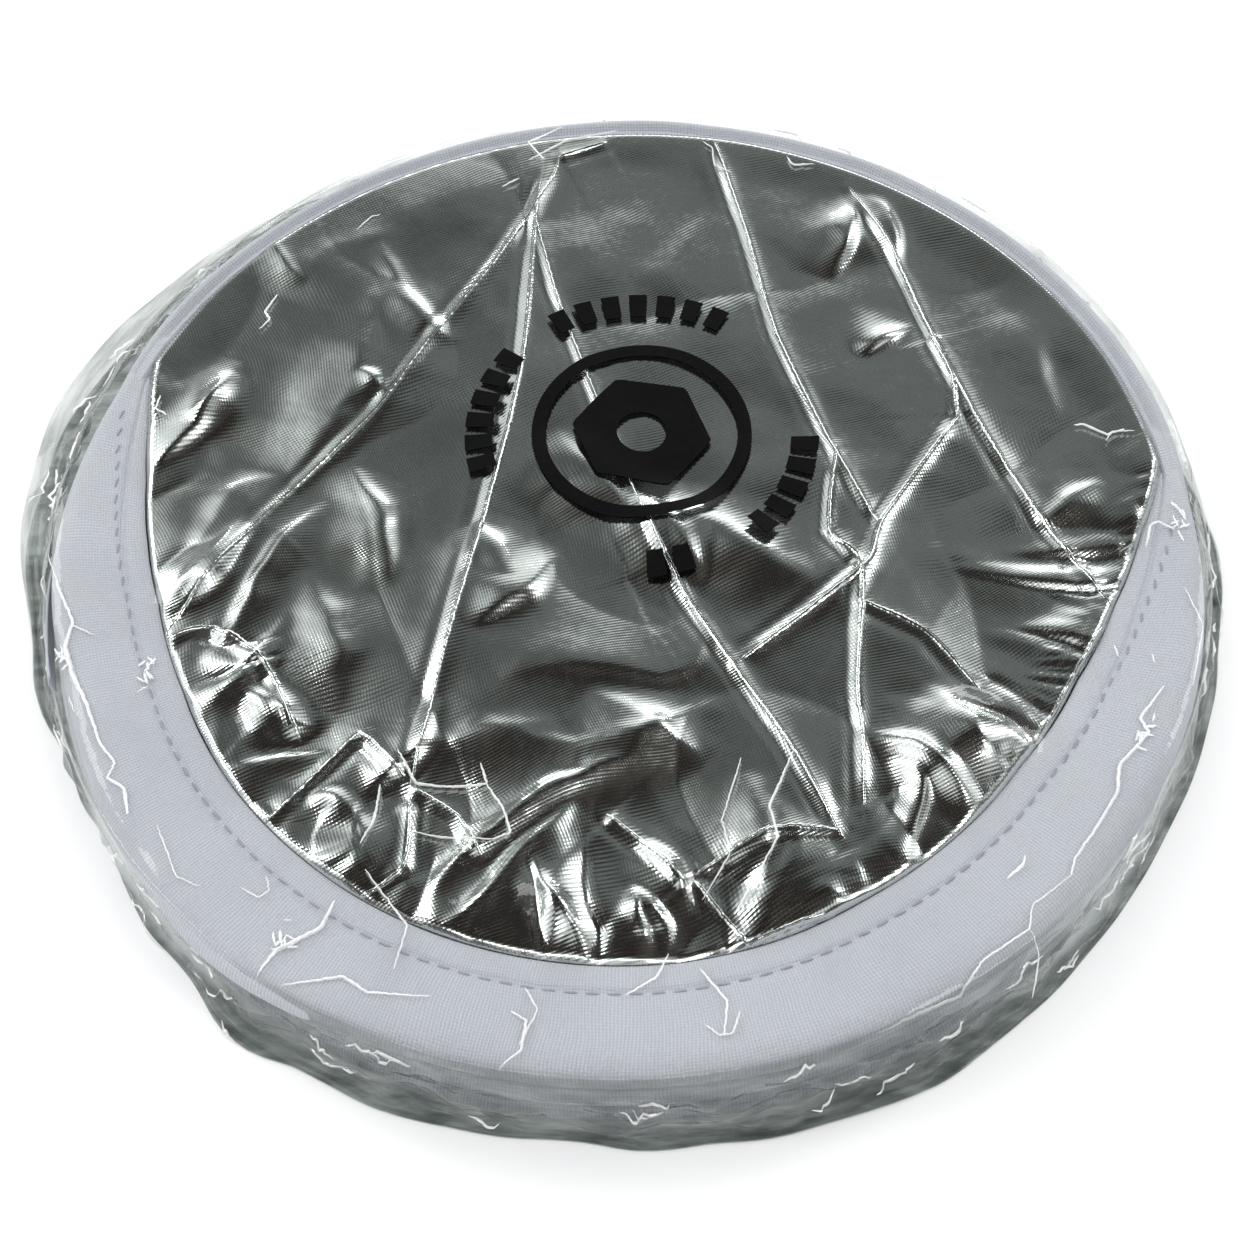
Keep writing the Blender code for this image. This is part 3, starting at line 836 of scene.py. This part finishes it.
def close_ends(made, rows, count):
    """Cap the two ends of an open sweep whose section has count points."""
    mesh = made.data
    work = bmesh.new()
    work.from_mesh(mesh)
    work.verts.ensure_lookup_table()
    for start in (0, (rows - 1) * count):
        half = count // 2
        for k in range(half - 1):
            a = work.verts[start + k]
            b = work.verts[start + k + 1]
            c = work.verts[start + count - 2 - k]
            d = work.verts[start + count - 1 - k]
            face = work.faces.new((a, b, c, d) if start else (d, c, b, a))
            face.smooth = True
    work.to_mesh(mesh)
    work.free()


def ring_tape(loop, seed):
    """The whole tape of a loop that is wide all the way round."""
    count = 480
    angles = np.linspace(0, FULL_TURN, count, endpoint=False)
    base = tape_outline(PLAIN_INNER, TAPE_OUTER)
    outlines = []
    for angle in angles:
        out, up = tape_wave(angle, seed)
        outlines.append(base + np.array([out, LOOP_Z[loop] + up]))
    made = swept_tape(f"{loop}_binding_tape_cover", angles, outlines, True)
    finish_piece(made, f"{loop}_loop", "binding_tape", f"{loop}_binding_tape")


def near_tape_shape(angle):
    """Inner radius, outer radius, lift and fullness of the top loop's near tape."""
    degrees = math.degrees(angle)
    inner = float(tape_inner_edge(np.array([angle]))[0])
    left = smoothstep(0, 34, degrees - math.degrees(LEFT_TIP))
    right = smoothstep(0, 34, 360 + math.degrees(RIGHT_TIP) - degrees)
    full = float(left * right)
    out, up = tape_wave(angle, 21)
    swell = 2.4 * MM * math.exp(-(((degrees - 229) / 11) ** 2))
    dent = -1.2 * MM * math.exp(-(((degrees - 197) / 10) ** 2))
    outer = TAPE_OUTER + (out + swell + dent) * full - 1.6 * MM * (1 - full)
    inner = min(inner + 0.5 * out * full, outer - 2.2 * MM)
    return inner, outer, LOOP_Z["top"] + up * full, full


def near_tape_outline(angle):
    """The near tape's section; towards its tips it tucks in under the far strand."""
    inner, outer, lift, full = near_tape_shape(angle)
    outline = tape_outline(inner, outer, 0.8 + 0.2 * full)
    past = min(angle - LEFT_TIP, FULL_TURN + RIGHT_TIP - angle)
    under = 1 - float(smoothstep(math.radians(2), math.radians(9), past))
    tuck = smoothstep(97.0 * MM, 100.5 * MM, outline[:, 0]) * under * 3.0 * MM
    return outline + np.stack([0 * tuck, lift - tuck], 1)


def top_near_tape():
    count = 420
    angles = np.linspace(LEFT_TIP, FULL_TURN + RIGHT_TIP, count)
    outlines = [near_tape_outline(angle) for angle in angles]
    made = swept_tape("top_binding_tape_near", angles, outlines, False)
    close_ends(made, count, 2 * len(outlines[0]))
    finish_piece(made, "top_loop", "binding_tape", "top_binding_tape")


# Section of the far strand: radius and height above the top loop's mid plane in millimetres
FAR_SECTION = [
    (99.1, 1.4), (99.3, 2.3), (99.8, 2.7), (100.4, 2.4), (100.6, 2.2),
    (100.9, 2.6), (101.7, 3.5), (102.6, 3.3), (103.4, 2.2), (103.9, 0.8),
    (103.9, -0.8), (103.2, -2.4), (101.8, -3.3), (100.0, -3.1), (99.2, -1.8),
]


def top_far_tape():
    """The far strand: the tape is rolled round the hoop, so only its round outer edge shows.

    Past both tips it shrinks and sinks in under the near tape, and its groove fills over the band.
    """
    count = 260
    reach = math.radians(30)
    angles = np.linspace(RIGHT_TIP - reach, LEFT_TIP + reach, count)
    base = spline(FAR_SECTION, 54) * MM
    outlines = []
    for angle in angles:
        past = max(RIGHT_TIP - angle, angle - LEFT_TIP, 0) / reach
        out, up = tape_wave(angle, 31)
        centre = np.array([101.6 * MM, 0])
        size = 1 - 0.4 * past
        outline = centre + (base - centre) * size
        full_height = 3.2 * MM * float(smoothstep(0, 0.08, past)) * size
        over_band = (np.abs(base[:, 0] - 100.5 * MM) < 1 * MM) & (base[:, 1] > 0)
        outline[over_band, 1] = np.maximum(outline[over_band, 1], full_height)
        shift = np.array([0.4 * out - 0.4 * MM * past, LOOP_Z["top"] + up - 7.5 * MM * past**1.6])
        outlines.append(outline + shift)
    made = swept_tape("top_binding_tape_far", angles, outlines, False)
    close_ends(made, count, 2 * len(base))
    finish_piece(made, "top_loop", "binding_tape")


def crossover(node, lower, upper, angle):
    """The stretch of tape that climbs from one loop to the next."""
    low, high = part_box(node)
    rows = 48
    columns = 9
    half_angle = math.asin((high.y - low.y) / 2 / TAPE_RADIUS)
    half_width = 2.4 * MM
    radius = TAPE_RADIUS + 0.55 * MM
    turn = np.linspace(-half_angle, half_angle, rows)
    across = np.linspace(-1, 1, columns)
    t, a = np.meshgrid(turn, across, indexing="ij")
    z = LOOP_Z[lower] + (LOOP_Z[upper] - LOOP_Z[lower]) * (t / half_angle + 1) / 2
    z = z + a * half_width
    r = radius + 0.5 * MM * (1 - a**2) + 0.1 * MM * smooth_noise(t * radius, z, 5 * MM, 91)
    points = polar_points(r, t + angle, z).reshape(-1, 3)
    uv = np.stack([t * radius, a * half_width], 2).reshape(-1, 2)
    made = add_mesh(f"{node}_strip", points, grid_faces(rows, columns)[:, ::-1], uv)
    solid = made.modifiers.new("thickness", "SOLIDIFY")
    solid.thickness = 0.4 * MM
    solid.offset = 0
    bpy.context.view_layer.update()
    apply_modifiers(made)
    paint(made, "binding_tape")
    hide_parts(node)
    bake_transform(made)


def apply_modifiers(made):
    graph = bpy.context.evaluated_depsgraph_get()
    mesh = bpy.data.meshes.new_from_object(made.evaluated_get(graph))
    made.modifiers.clear()
    made.data = mesh


# ---------------------------------------------------------------- seam threads


def stitch_row(name, loop, side, first, last, place, node):
    """A row of lockstitches: short lengths of thread that dip into the tape at each end."""
    sides = 6
    steps = 7
    half_length = 1.42 * MM
    half_thick = 0.21 * MM
    draw = np.random.default_rng(92 + len(node))
    count = int((last - first) * STITCH_RADIUS / STITCH_PITCH)
    share = np.linspace(-1, 1, steps)[:, None]
    turn = np.arange(sides) * FULL_TURN / sides
    thick = half_thick * np.sqrt(np.maximum(1 - share**4, 0.05))
    points = []
    uv = []
    for k in range(count):
        centre = first + (k + 0.5) * (last - first) / count
        out, height = place(centre)
        skew = draw.uniform(-0.08, 0.08) * MM
        angle = centre + share * half_length / out + 0 * turn
        lift = 0.10 * MM - 0.5 * MM * share**4
        r = out + skew * share + thick * np.cos(turn)
        z = LOOP_Z[loop] + side * (height + lift + thick * np.sin(turn))
        points.append(polar_points(r, angle, z).reshape(-1, 3))
        uv.append(np.stack([angle * out, turn * thick], 2).reshape(-1, 2))
    ring = grid_faces(steps, sides, wrap_columns=True)
    # Two quads close each end of a stitch
    caps = np.array([[5, 4, 1, 0], [4, 3, 2, 1]])
    stitch = np.concatenate([ring, caps[:, ::-1], caps + (steps - 1) * sides])
    faces = np.concatenate([stitch + k * steps * sides for k in range(count)])
    if side > 0:
        faces = faces[:, ::-1]
    made = add_mesh(name, np.concatenate(points), faces, np.concatenate(uv))
    finish_piece(made, f"{loop}_loop", "seam_thread", node)


def section_height(share):
    """Height of the tape's upper surface above the loop's mid plane at a share of its width."""
    return float(np.interp(share, *zip(*TAPE_SECTION))) * MM


def plain_stitch_place(angle):
    share = STITCH_INSET / (TAPE_OUTER - PLAIN_INNER)
    return PLAIN_INNER + STITCH_INSET, section_height(share)


def top_stitch_place(angle):
    inner, outer, lift, full = near_tape_shape(angle)
    share = STITCH_INSET / (outer - inner)
    height = section_height(share) * (0.8 + 0.2 * full)
    return inner + STITCH_INSET, height + lift - LOOP_Z["top"]


def seam_threads():
    for loop in ("bottom", "middle", "top"):
        silver = -1 if loop == "middle" else 1
        for thread, side in (("needle", silver), ("bobbin", -silver)):
            first = 0
            last = FULL_TURN
            place = plain_stitch_place
            if loop == "top" and thread == "needle":
                first = LEFT_TIP + math.radians(12)
                last = FULL_TURN + RIGHT_TIP - math.radians(14)
                place = top_stitch_place
            node = f"{loop}_{thread}_thread"
            stitch_row(f"{node}_stitches", loop, side, first, last, place, node)


# ---------------------------------------------------------------- bag


# Where the bag's edge lies out or in: degrees, width in degrees, millimetres
EDGE_BUMPS = [
    (156, 26, 11.0), (130, 16, 5.0), (112, 12, 3.0), (5, 14, 3.5), (38, 12, 3.0),
    (238, 20, 0.5), (262, 20, -2.5), (207, 17, -4.2), (70, 20, -1.0), (325, 18, -2.0),
]


def bag_edge(angle):
    """The outline of the bag's edge on the surface that it lies on: radius for an angle."""
    degrees = np.mod(np.degrees(angle), 360)
    edge = 109.5 * MM + 0 * degrees
    for place, width, size in EDGE_BUMPS:
        away = np.mod(degrees - place + 180, 360) - 180
        edge = edge + size * MM * np.exp(-((away / width) ** 2))
    x = np.cos(angle) * TAPE_RADIUS
    y = np.sin(angle) * TAPE_RADIUS
    return edge + 1.3 * MM * smooth_noise(x, y, 14 * MM, 201)


NEIGHBOURS = [(a, b) for a in (0, 1, 2) for b in (0, 1, 2)]


class Relief:
    """Heights over a square grid of cells, from the highest of the points in each cell."""

    def __init__(self, cell, half):
        self.cell = cell
        self.half = half
        self.count = int(2 * half / cell) + 1
        self.heights = np.full((self.count, self.count), -1.0)

    def drape_over(self, points):
        i = np.round((points[:, 0] + self.half) / self.cell).astype(int)
        j = np.round((points[:, 1] + self.half) / self.cell).astype(int)
        np.maximum.at(self.heights, (i, j), points[:, 2])

    def spread(self, reach, passes):
        """Raise every cell to its highest neighbour within reach cells, then smooth."""
        for combine in [np.max] * reach + [np.mean] * passes:
            padded = np.pad(self.heights, 1, mode="edge")
            shifts = [padded[a : a + self.count, b : b + self.count] for a, b in NEIGHBOURS]
            self.heights = combine(shifts, axis=0)

    def at(self, x, y):
        u = np.clip((x + self.half) / self.cell, 0, self.count - 1.001)
        v = np.clip((y + self.half) / self.cell, 0, self.count - 1.001)
        i = np.floor(u).astype(int)
        j = np.floor(v).astype(int)

        def corner(di, dj):
            return self.heights[i + di, j + dj]

        return blend_corners(corner, u - i, v - j)


UNDER_FILM = Relief(1.5 * MM, 0.12)


def points_of(name):
    mesh = bpy.data.objects[name].data
    points = np.empty(len(mesh.vertices) * 3, np.float32)
    mesh.vertices.foreach_get("co", points)
    return points.reshape(-1, 3).astype(float)


def measure_relief():
    """The surface that the film lies on: the cloth and tape, bridged over their hollows."""
    for name in ("top_silver_cloth_sheet", "top_binding_tape_near", "top_binding_tape_far"):
        UNDER_FILM.drape_over(points_of(name))
    heights = UNDER_FILM.heights
    heights[heights < 0] = LOOP_Z["top"]
    UNDER_FILM.spread(1, 2)


def film_lift(x, y):
    """Height of the film over the top loop."""
    flat = facets(x, y, 17 * MM, 211) * 0.22 + facets(x, y, 8 * MM, 212) * 0.06
    return UNDER_FILM.at(x, y) + 0.45 * MM + flat * MM


SHOULDER = 104.5 * MM


def skirt(angle, share):
    """Radius and height of the film's side, from the shoulder (0) to the bag's edge (1)."""
    edge = bag_edge(angle)
    top = film_lift(SHOULDER * np.cos(angle), SHOULDER * np.sin(angle))
    degrees = np.mod(np.degrees(angle), 360)
    raised = smoothstep(90, 130, degrees) * smoothstep(185, 160, degrees)
    bottom = (0.8 + 6.5 * raised) * MM
    radius = SHOULDER + (edge - SHOULDER) * (0.42 * share**0.5 + 0.58 * share**3)
    z = top + (bottom - top) * (1 - (1 - share) ** 1.35) ** 0.9
    arc = angle * TAPE_RADIUS * 0.55
    pitch = FULL_TURN * TAPE_RADIUS * 0.55 / 60
    wall = facets(arc, share * 24 * MM, pitch, 221) - 0.6
    fine = facets(arc * 1.9, share * 52 * MM, pitch, 222) - 0.6
    middle = np.sin(math.pi * np.minimum(share * 1.1, 1)) ** 0.7
    seam = smoothstep(0, 0.12, np.minimum(angle, FULL_TURN - angle))
    radius = radius + (wall * 2.4 + fine * 0.9) * MM * middle * seam
    return np.maximum(radius, SHOULDER + 0.4 * MM * np.minimum(share * 20, 1)), z


def film_disc(node, rings, uv=None):
    """A film in place of a CAD node, from rings of points that go outwards."""
    columns = len(rings[0])
    points = np.concatenate(rings)
    faces = grid_faces(len(rings), columns, wrap_columns=True)[:, ::-1]
    made = add_mesh(f"{node}_sheet", points, faces, points[:, :2] if uv is None else uv)
    fill_middle(made, columns)
    return finish_piece(made, "bag", "clear_film", node)


def film_front():
    """The bag's front: over the loops, down their side in crinkles, and out to the bag's edge."""
    columns = 720
    angle = np.linspace(0, FULL_TURN, columns, endpoint=False)
    rings = []
    for first, last, count in ((0.5, 80, 40), (82, 104.0, 30)):
        for r in np.linspace(first, last, count) * MM:
            rings.append(polar_points(r, angle, film_lift(r * np.cos(angle), r * np.sin(angle))))
    for share in np.linspace(0, 1, 36):
        radius, z = skirt(angle, np.full(columns, share))
        rings.append(polar_points(radius, angle, z))
    x, y, _ = np.concatenate(rings).T
    round_rim = np.abs(np.arctan2(y, x)) * TAPE_RADIUS
    down_side = np.repeat(np.arange(len(rings)), columns) * MM
    return film_disc("bag_front_film", rings, np.stack([round_rim, down_side], 1))


def fill_middle(made, count):
    """Close the small round opening in the middle of a film, whose first count points ring it."""
    work = bmesh.new()
    work.from_mesh(made.data)
    work.verts.ensure_lookup_table()
    face = work.faces.new([work.verts[k] for k in range(count)])
    face.normal_update()
    if face.normal.z < 0:
        face.normal_flip()
    face.smooth = True
    work.to_mesh(made.data)
    work.free()


# Pinched folds that stand up from the film where it bends, and knots of crushed film: points in
# millimetres
BOLD_FILM_FOLDS = [
    [(-102, -6), (-98, -15), (-99, -20), (-97, -26), (-94, -32), (-91, -40), (-88, -44), (-89, -47)],
    [(-89, -47), (-86, -49), (-85, -54)],
    [(91, -38), (86, -44), (87, -47), (81, -53), (80, -58), (75, -65), (71, -70), (70, -73)],
    [(-62, -84), (-59, -80), (-52, -76), (-50, -71)],
]
FILM_KNOTS = [(-84, -26), (-99, -21), (-58, -78), (86, -46), (100, -4)]
FILM_FOLDS = [
    [(-58, -86), (-48, -85), (-44, -88), (-34, -89)],
    [(-40, -44), (-37, -50), (-31, -51), (-25, -51), (-26, -47)],
    [(-25, -51), (-22, -57), (-21, -61), (-24, -62)], [(-37, -59), (-31, -61), (-24, -62)],
    [(-43, -50), (-44, -57), (-46, -61)], [(18, -48), (14, -60), (15, -66), (10, -74)],
    [(27, -47), (22, -58), (23, -64), (15, -77)],
    [(70, -73), (63, -78), (62, -82), (54, -87), (50, -92), (36, -98)],
    [(-19, -88), (-17, -92), (-20, -98)], [(9, -86), (13, -92), (12, -98)],
    [(-13, 92), (-16, 97), (-9, 101)], [(-16, 92), (-8, 97), (2, 99)],
    [(-96, 48), (-92, 52), (-93, 58)], [(-108, 20), (-104, 12), (-105, 2), (-101, -8)],
    [(106, 10), (108, 2), (105, -8), (107, -16)], [(-72, -68), (-76, -66), (-80, -56)],
    [(98, -18), (100, -26), (96, -38)], [(-45, -66), (-38, -76), (-40, -84)],
    [(-3, -90), (2, -87), (4, -83)],
]


def rib_mesh(lines, surface, half_width, height, seed):
    """Thin round-topped ribs that follow lines over a surface, as arrays of points and faces.

    half_width and height are ranges in millimetres, and each rib draws its own from them.
    """
    draw = np.random.default_rng(seed)
    half = [(-1, -0.3), (-0.75, 0.35), (-0.35, 0.85)]
    section = half + [(0, 1)] + [(-across, up) for across, up in reversed(half)]
    step = 0.5 * MM
    shake = 0.05 * MM
    points = []
    faces = []
    start = 0
    for line in lines:
        lengths = np.hypot(*np.diff(line, axis=0).T)
        count = max(6, int(lengths.sum() / step))
        at = np.linspace(0, lengths.sum(), count)
        sums = np.concatenate([[0], np.cumsum(lengths)])
        path = np.stack([np.interp(at, sums, line[:, 0]), np.interp(at, sums, line[:, 1])], 1)
        path += draw.normal(0, shake, path.shape)
        tangent = np.gradient(path, axis=0)
        tangent /= np.hypot(*tangent.T)[:, None]
        side = np.stack([-tangent[:, 1], tangent[:, 0]], 1)
        taper = np.sin(np.linspace(0, math.pi, count)) ** 0.5
        wide = draw.uniform(*half_width) * MM * (0.3 + 0.7 * taper)
        swell = np.interp(at, np.linspace(0, at[-1], 7), draw.uniform(0.35, 1.15, 7))
        tall = draw.uniform(*height) * MM * taper * swell * draw.uniform(0.85, 1.1, count)
        wide = wide * (0.45 + 0.55 * swell)
        for across, up in section:
            place = path + side * (across * wide)[:, None]
            z = surface(place[:, 0], place[:, 1]) + up * tall
            points.append(np.stack([place[:, 0], place[:, 1], z], 1))
        faces.append(grid_faces(len(section), count) + start)
        start += len(section) * count
    return np.concatenate(points), np.concatenate(faces)


def film_lines(seed=231):
    """The film's authored folds, and short random ones along the tape."""
    draw = np.random.default_rng(seed)
    lines = [np.asarray(line) * MM for line in FILM_FOLDS]
    for _ in range(18):
        place = draw.uniform(0, FULL_TURN)
        radius = draw.uniform(88, 104) * MM
        heading = place + math.pi / 2 + draw.normal(0, 0.8)
        point = np.array([math.cos(place), math.sin(place)]) * radius
        line = [point]
        for _ in range(draw.integers(1, 4)):
            ahead = np.array([math.cos(heading), math.sin(heading)])
            point = point + ahead * draw.uniform(1.5, 5) * MM
            line.append(point)
            heading += draw.choice([-1, 1]) * draw.uniform(0.5, 1.3)
        lines.append(np.array(line))
    return lines


def film_knots(seed=241):
    """Short folds in two main directions, close round each knot."""
    draw = np.random.default_rng(seed)
    lines = []
    for knot in FILM_KNOTS:
        outward = math.atan2(knot[1], knot[0])
        for _ in range(10):
            middle = np.array(knot) + draw.normal(0, 1, 2) * (0.9, 1.6)
            turn = outward + draw.choice([0.5, 1.9]) + draw.normal(0, 0.25)
            step = np.array([math.cos(turn), math.sin(turn)]) * draw.uniform(0.5, 1.4)
            lines.append(np.array([middle - step, middle + step]) * MM)
    return lines


def skirt_folds(seed=251):
    """Sharp folds over the film's side, as arrays of points and faces."""
    draw = np.random.default_rng(seed)
    points = []
    faces = []
    start = 0
    for _ in range(110):
        count = draw.integers(5, 9)
        angle = draw.uniform(0, FULL_TURN) + np.cumsum(draw.uniform(0.004, 0.016, count))
        share = np.clip(draw.uniform(0.05, 0.95) + np.cumsum(draw.normal(0, 0.045, count)), 0.02, 1)
        many = 6 * count
        at = np.linspace(0, count - 1, many)
        angle = np.mod(np.interp(at, np.arange(count), angle), FULL_TURN)
        share = np.interp(at, np.arange(count), share)
        taper = np.sin(np.linspace(0, math.pi, many)) ** 0.5
        half = draw.uniform(0.004, 0.011) * taper
        for across, up in ((-1, 0.0), (-0.4, 0.8), (0.4, 0.8), (1, 0.0)):
            radius, z = skirt(angle, np.clip(share + across * half, 0, 1))
            radius = radius + (0.05 + up * 0.5 * taper) * MM
            points.append(polar_points(radius, angle, z))
        faces.append(grid_faces(4, many) + start)
        start += 4 * many
    return np.concatenate(points), np.concatenate(faces)


def film_surface(x, y):
    """Height of the film over any place on the disc, its rim and a little past it."""
    radius = np.hypot(x, y)
    past = smoothstep(103 * MM, 111 * MM, radius)
    return film_lift(x, y) * (1 - past) + 9 * MM * past


def bag():
    measure_relief()
    front = film_front()
    bold = [np.asarray(line) * MM for line in BOLD_FILM_FOLDS]
    # The fold pieces take film_fold, whose white line is a painted glint.
    groups = [
        ("bag_front_film_folds", film_lines(), (0.14, 0.30), (0.15, 0.35), 233),
        ("bag_front_film_bold_folds", bold, (0.32, 0.50), (0.30, 0.50), 234),
        ("bag_front_film_knots", film_knots(), (0.16, 0.34), (0.15, 0.30), 235),
    ]
    for name, lines, half_width, height, seed in groups:
        points, faces = rib_mesh(lines, film_surface, half_width, height, seed)
        ribs = add_mesh(name, points, faces[:, ::-1], points[:, :2])
        finish_piece(ribs, "bag", "clear_film", material="film_fold")
    # The side folds take the same painted glint.
    points, faces = skirt_folds()
    side = add_mesh("bag_side_folds", points, faces, points[:, :2])
    finish_piece(side, "bag", "clear_film", material="film_fold")
    print_marks()
    back_film()


def back_film():
    """The bag's back, under the loops, out to the same edge as the front."""
    columns = 240
    angle = np.linspace(0, FULL_TURN, columns, endpoint=False)
    edge = bag_edge(angle)
    rings = []
    for share in np.linspace(0.004, 1, 40):
        flat = facets(edge * share * np.cos(angle), edge * share * np.sin(angle), 14 * MM, 241)
        z = 0.12 * MM + 0.18 * MM * flat * smoothstep(0.2, 0.9, share)
        rings.append(polar_points(edge * share, angle, z))
    made = film_disc("bag_back_film", rings)


# Arcs of printed blocks: the first block's degrees, the step to the next and how many
BLOCK_ARCS = [(191, -9.5, 6), (118, -9.7, 7), (-8, -9.5, 5), (-78, -9.5, 2)]
BLOCK_HALF = math.radians(3.1)


class Print:
    """Patches of ink that follow the film, gathered into one mesh."""

    def __init__(self):
        self.points = []
        self.faces = []
        self.count = 0

    def patch(self, inner, outer, angle, rows):
        """Ink from an inner to an outer radius (which may change with the angle)."""
        r = inner + (outer - inner) * np.linspace(0, 1, rows)[:, None] + 0 * angle
        x = (PRINT_CENTRE.x + r * np.cos(angle)).ravel()
        y = (PRINT_CENTRE.y + r * np.sin(angle)).ravel()
        self.points.append(np.stack([x, y, film_surface(x, y) + 0.16 * MM], 1))
        self.faces.append(grid_faces(rows, len(angle)) + self.count)
        self.count += len(x)

    def arc(self, inner, outer, first, last):
        step = 0.9 * MM
        columns = max(3, int((last - first) * outer / step) + 2)
        rows = max(3, int((outer - inner) / step) + 2)
        self.patch(inner, outer, np.linspace(first, last, columns), rows)


def print_marks():
    """Generic print: a plain ring, a hexagon with a round hole, and arcs of plain blocks."""
    ink = Print()
    ink.arc(PRINT_RADIUS - 2.6 * MM, PRINT_RADIUS, 0, FULL_TURN)
    angle = np.linspace(0, FULL_TURN, 73)
    sixth = math.pi / 3
    from_flat = np.mod(angle + 0.2, sixth) - sixth / 2
    ink.patch(4.6 * MM, 13.2 * MM * math.cos(sixth / 2) / np.cos(from_flat), angle, 12)
    for first, step, count in BLOCK_ARCS:
        for k in range(count):
            middle = math.radians(first + step * k)
            ink.arc(27.8 * MM, 33.0 * MM, middle - BLOCK_HALF, middle + BLOCK_HALF)
    points = np.concatenate(ink.points)
    made = add_mesh("bag_print", points, np.concatenate(ink.faces), points[:, :2])
    return finish_piece(made, "bag", "black_ink", "bag_print_ring")


# ---------------------------------------------------------------- frame, stage, lights, camera


def paint_frame():
    """The CAD nodes that stay get their own finish."""
    for row in frame["record"]["subparts"]:
        node = frame["nodes"][row["node"]]
        slot = row["material_slot"]
        if not node.hide_render and slot in MATERIALS:
            paint(node, slot)


def add_floor():
    size = 15.0
    points = [(-size, -size, 0), (size, -size, 0), (size, size, 0), (-size, size, 0)]
    floor = add_mesh("floor", np.array(points, float), [[0, 1, 2, 3]])
    floor.location.z = -0.15 * MM
    floor.data.materials.append(floor_material())


def add_softbox(name, place, size, power, glossy=True):
    light = bpy.data.lights.new(name, "AREA")
    light.shape = "RECTANGLE"
    light.size, light.size_y = size
    light.energy = power
    made = bpy.data.objects.new(name, light)
    bpy.context.scene.collection.objects.link(made)
    made.location = place
    aim = Vector((0, 0, 0.02)) - Vector(place)
    made.rotation_euler = aim.to_track_quat("-Z", "Y").to_euler()
    made.visible_glossy = glossy


GLOW_COLOUR = (0.88, 0.90, 0.90)
# Places of the strip lights, their sizes and powers
STRIPS = [
    ("strip_left_1", (-1.0, 0.75, 0.95), (0.22, 1.2), 4.2),
    ("strip_left_2", (-1.15, -0.05, 0.75), (0.18, 1.0), 3.0),
    ("strip_right_1", (1.05, 0.65, 0.85), (0.20, 1.0), 3.4),
    ("strip_right_2", (0.85, -0.55, 1.05), (0.16, 0.9), 2.6),
    ("strip_back", (0.1, 1.6, 0.42), (1.6, 0.2), 5.0),
    ("strip_front", (-0.25, -1.05, 1.15), (1.0, 0.16), 3.4),
]


def add_lights():
    """A big soft fill for the floor and tape, and strips that draw the silver's highlights."""
    add_softbox("fill", (0.0, 0.1, 2.0), (2.2, 2.2), 25, glossy=False)
    for name, place, size, power in STRIPS:
        add_softbox(name, place, size, power)


def add_world():
    """A dim studio: grey walls and ceiling, darkest and warmest where the photographer stands.

    Each strip light has a soft glow round it.
    """
    world = bpy.data.worlds.new("studio")
    bpy.context.scene.world = world
    w = Nodes(world)
    place = w.place("Generated")

    def towards(direction):
        return w.vector("DOT_PRODUCT", place, Vector(direction).normalized(), "Value")

    stops = [
        (0.0, (0.22, 0.23, 0.225)),
        (0.30, (0.18, 0.193, 0.189)),
        (0.44, (0.145, 0.157, 0.153)),
        (0.58, (0.054, 0.046, 0.041)),
        (1.0, (0.042, 0.036, 0.032)),
    ]
    ramp = w.add("ShaderNodeValToRGB", Fac=towards((0.0, -0.57, 0.82)))
    elements = ramp.color_ramp.elements
    while len(elements) < len(stops):
        elements.new(0.5)
    for element, (at, colour) in zip(elements, stops):
        element.position = at
        element.color = (*colour, 1)
    furniture = w.map_range(w.noise(place, 2.6, 3.0), (0.36, 0.64, 0.35, 1.45))
    light = w.vector("SCALE", ramp.outputs[0], furniture)
    for _, direction, _, _ in STRIPS:
        near = w.map_range(towards(direction), (0.88, 0.995, 0.0, 1.0))
        light = w.vector("ADD", light, w.vector("SCALE", GLOW_COLOUR, near))
    background = world.node_tree.nodes["Background"]
    w.put(background.inputs[0], light)
    background.inputs[1].default_value = 1.0


def add_camera():
    """Near side, looking down at the disc from 55 degrees above the horizontal."""
    distance = 0.40
    elevation = math.radians(55)
    roll = math.radians(-2.5)
    place = Vector((0, -distance * math.cos(elevation), 0.02 + distance * math.sin(elevation)))
    aim = Vector((0.0002, -0.0198, 0.02))
    camera = bpy.data.cameras.new("camera")
    camera.sensor_width = 36
    camera.lens = 62.9
    made = bpy.data.objects.new("camera", camera)
    bpy.context.scene.collection.objects.link(made)
    facing = (aim - place).to_track_quat("-Z", "Y").to_matrix().to_4x4()
    made.matrix_world = Matrix.Translation(place) @ facing @ Matrix.Rotation(roll, 4, "Z")
    bpy.context.scene.camera = made


def build():
    add_camera()
    loop_cloths()
    ring_tape("bottom", 301)
    ring_tape("middle", 311)
    top_near_tape()
    top_far_tape()
    crossover("right_crossover_tape", "bottom", "middle", 0)
    crossover("left_crossover_tape", "middle", "top", math.pi)
    seam_threads()
    bag()
    paint_frame()
    add_floor()
    add_lights()
    add_world()
    bpy.context.scene.view_settings.view_transform = "Standard"


build()
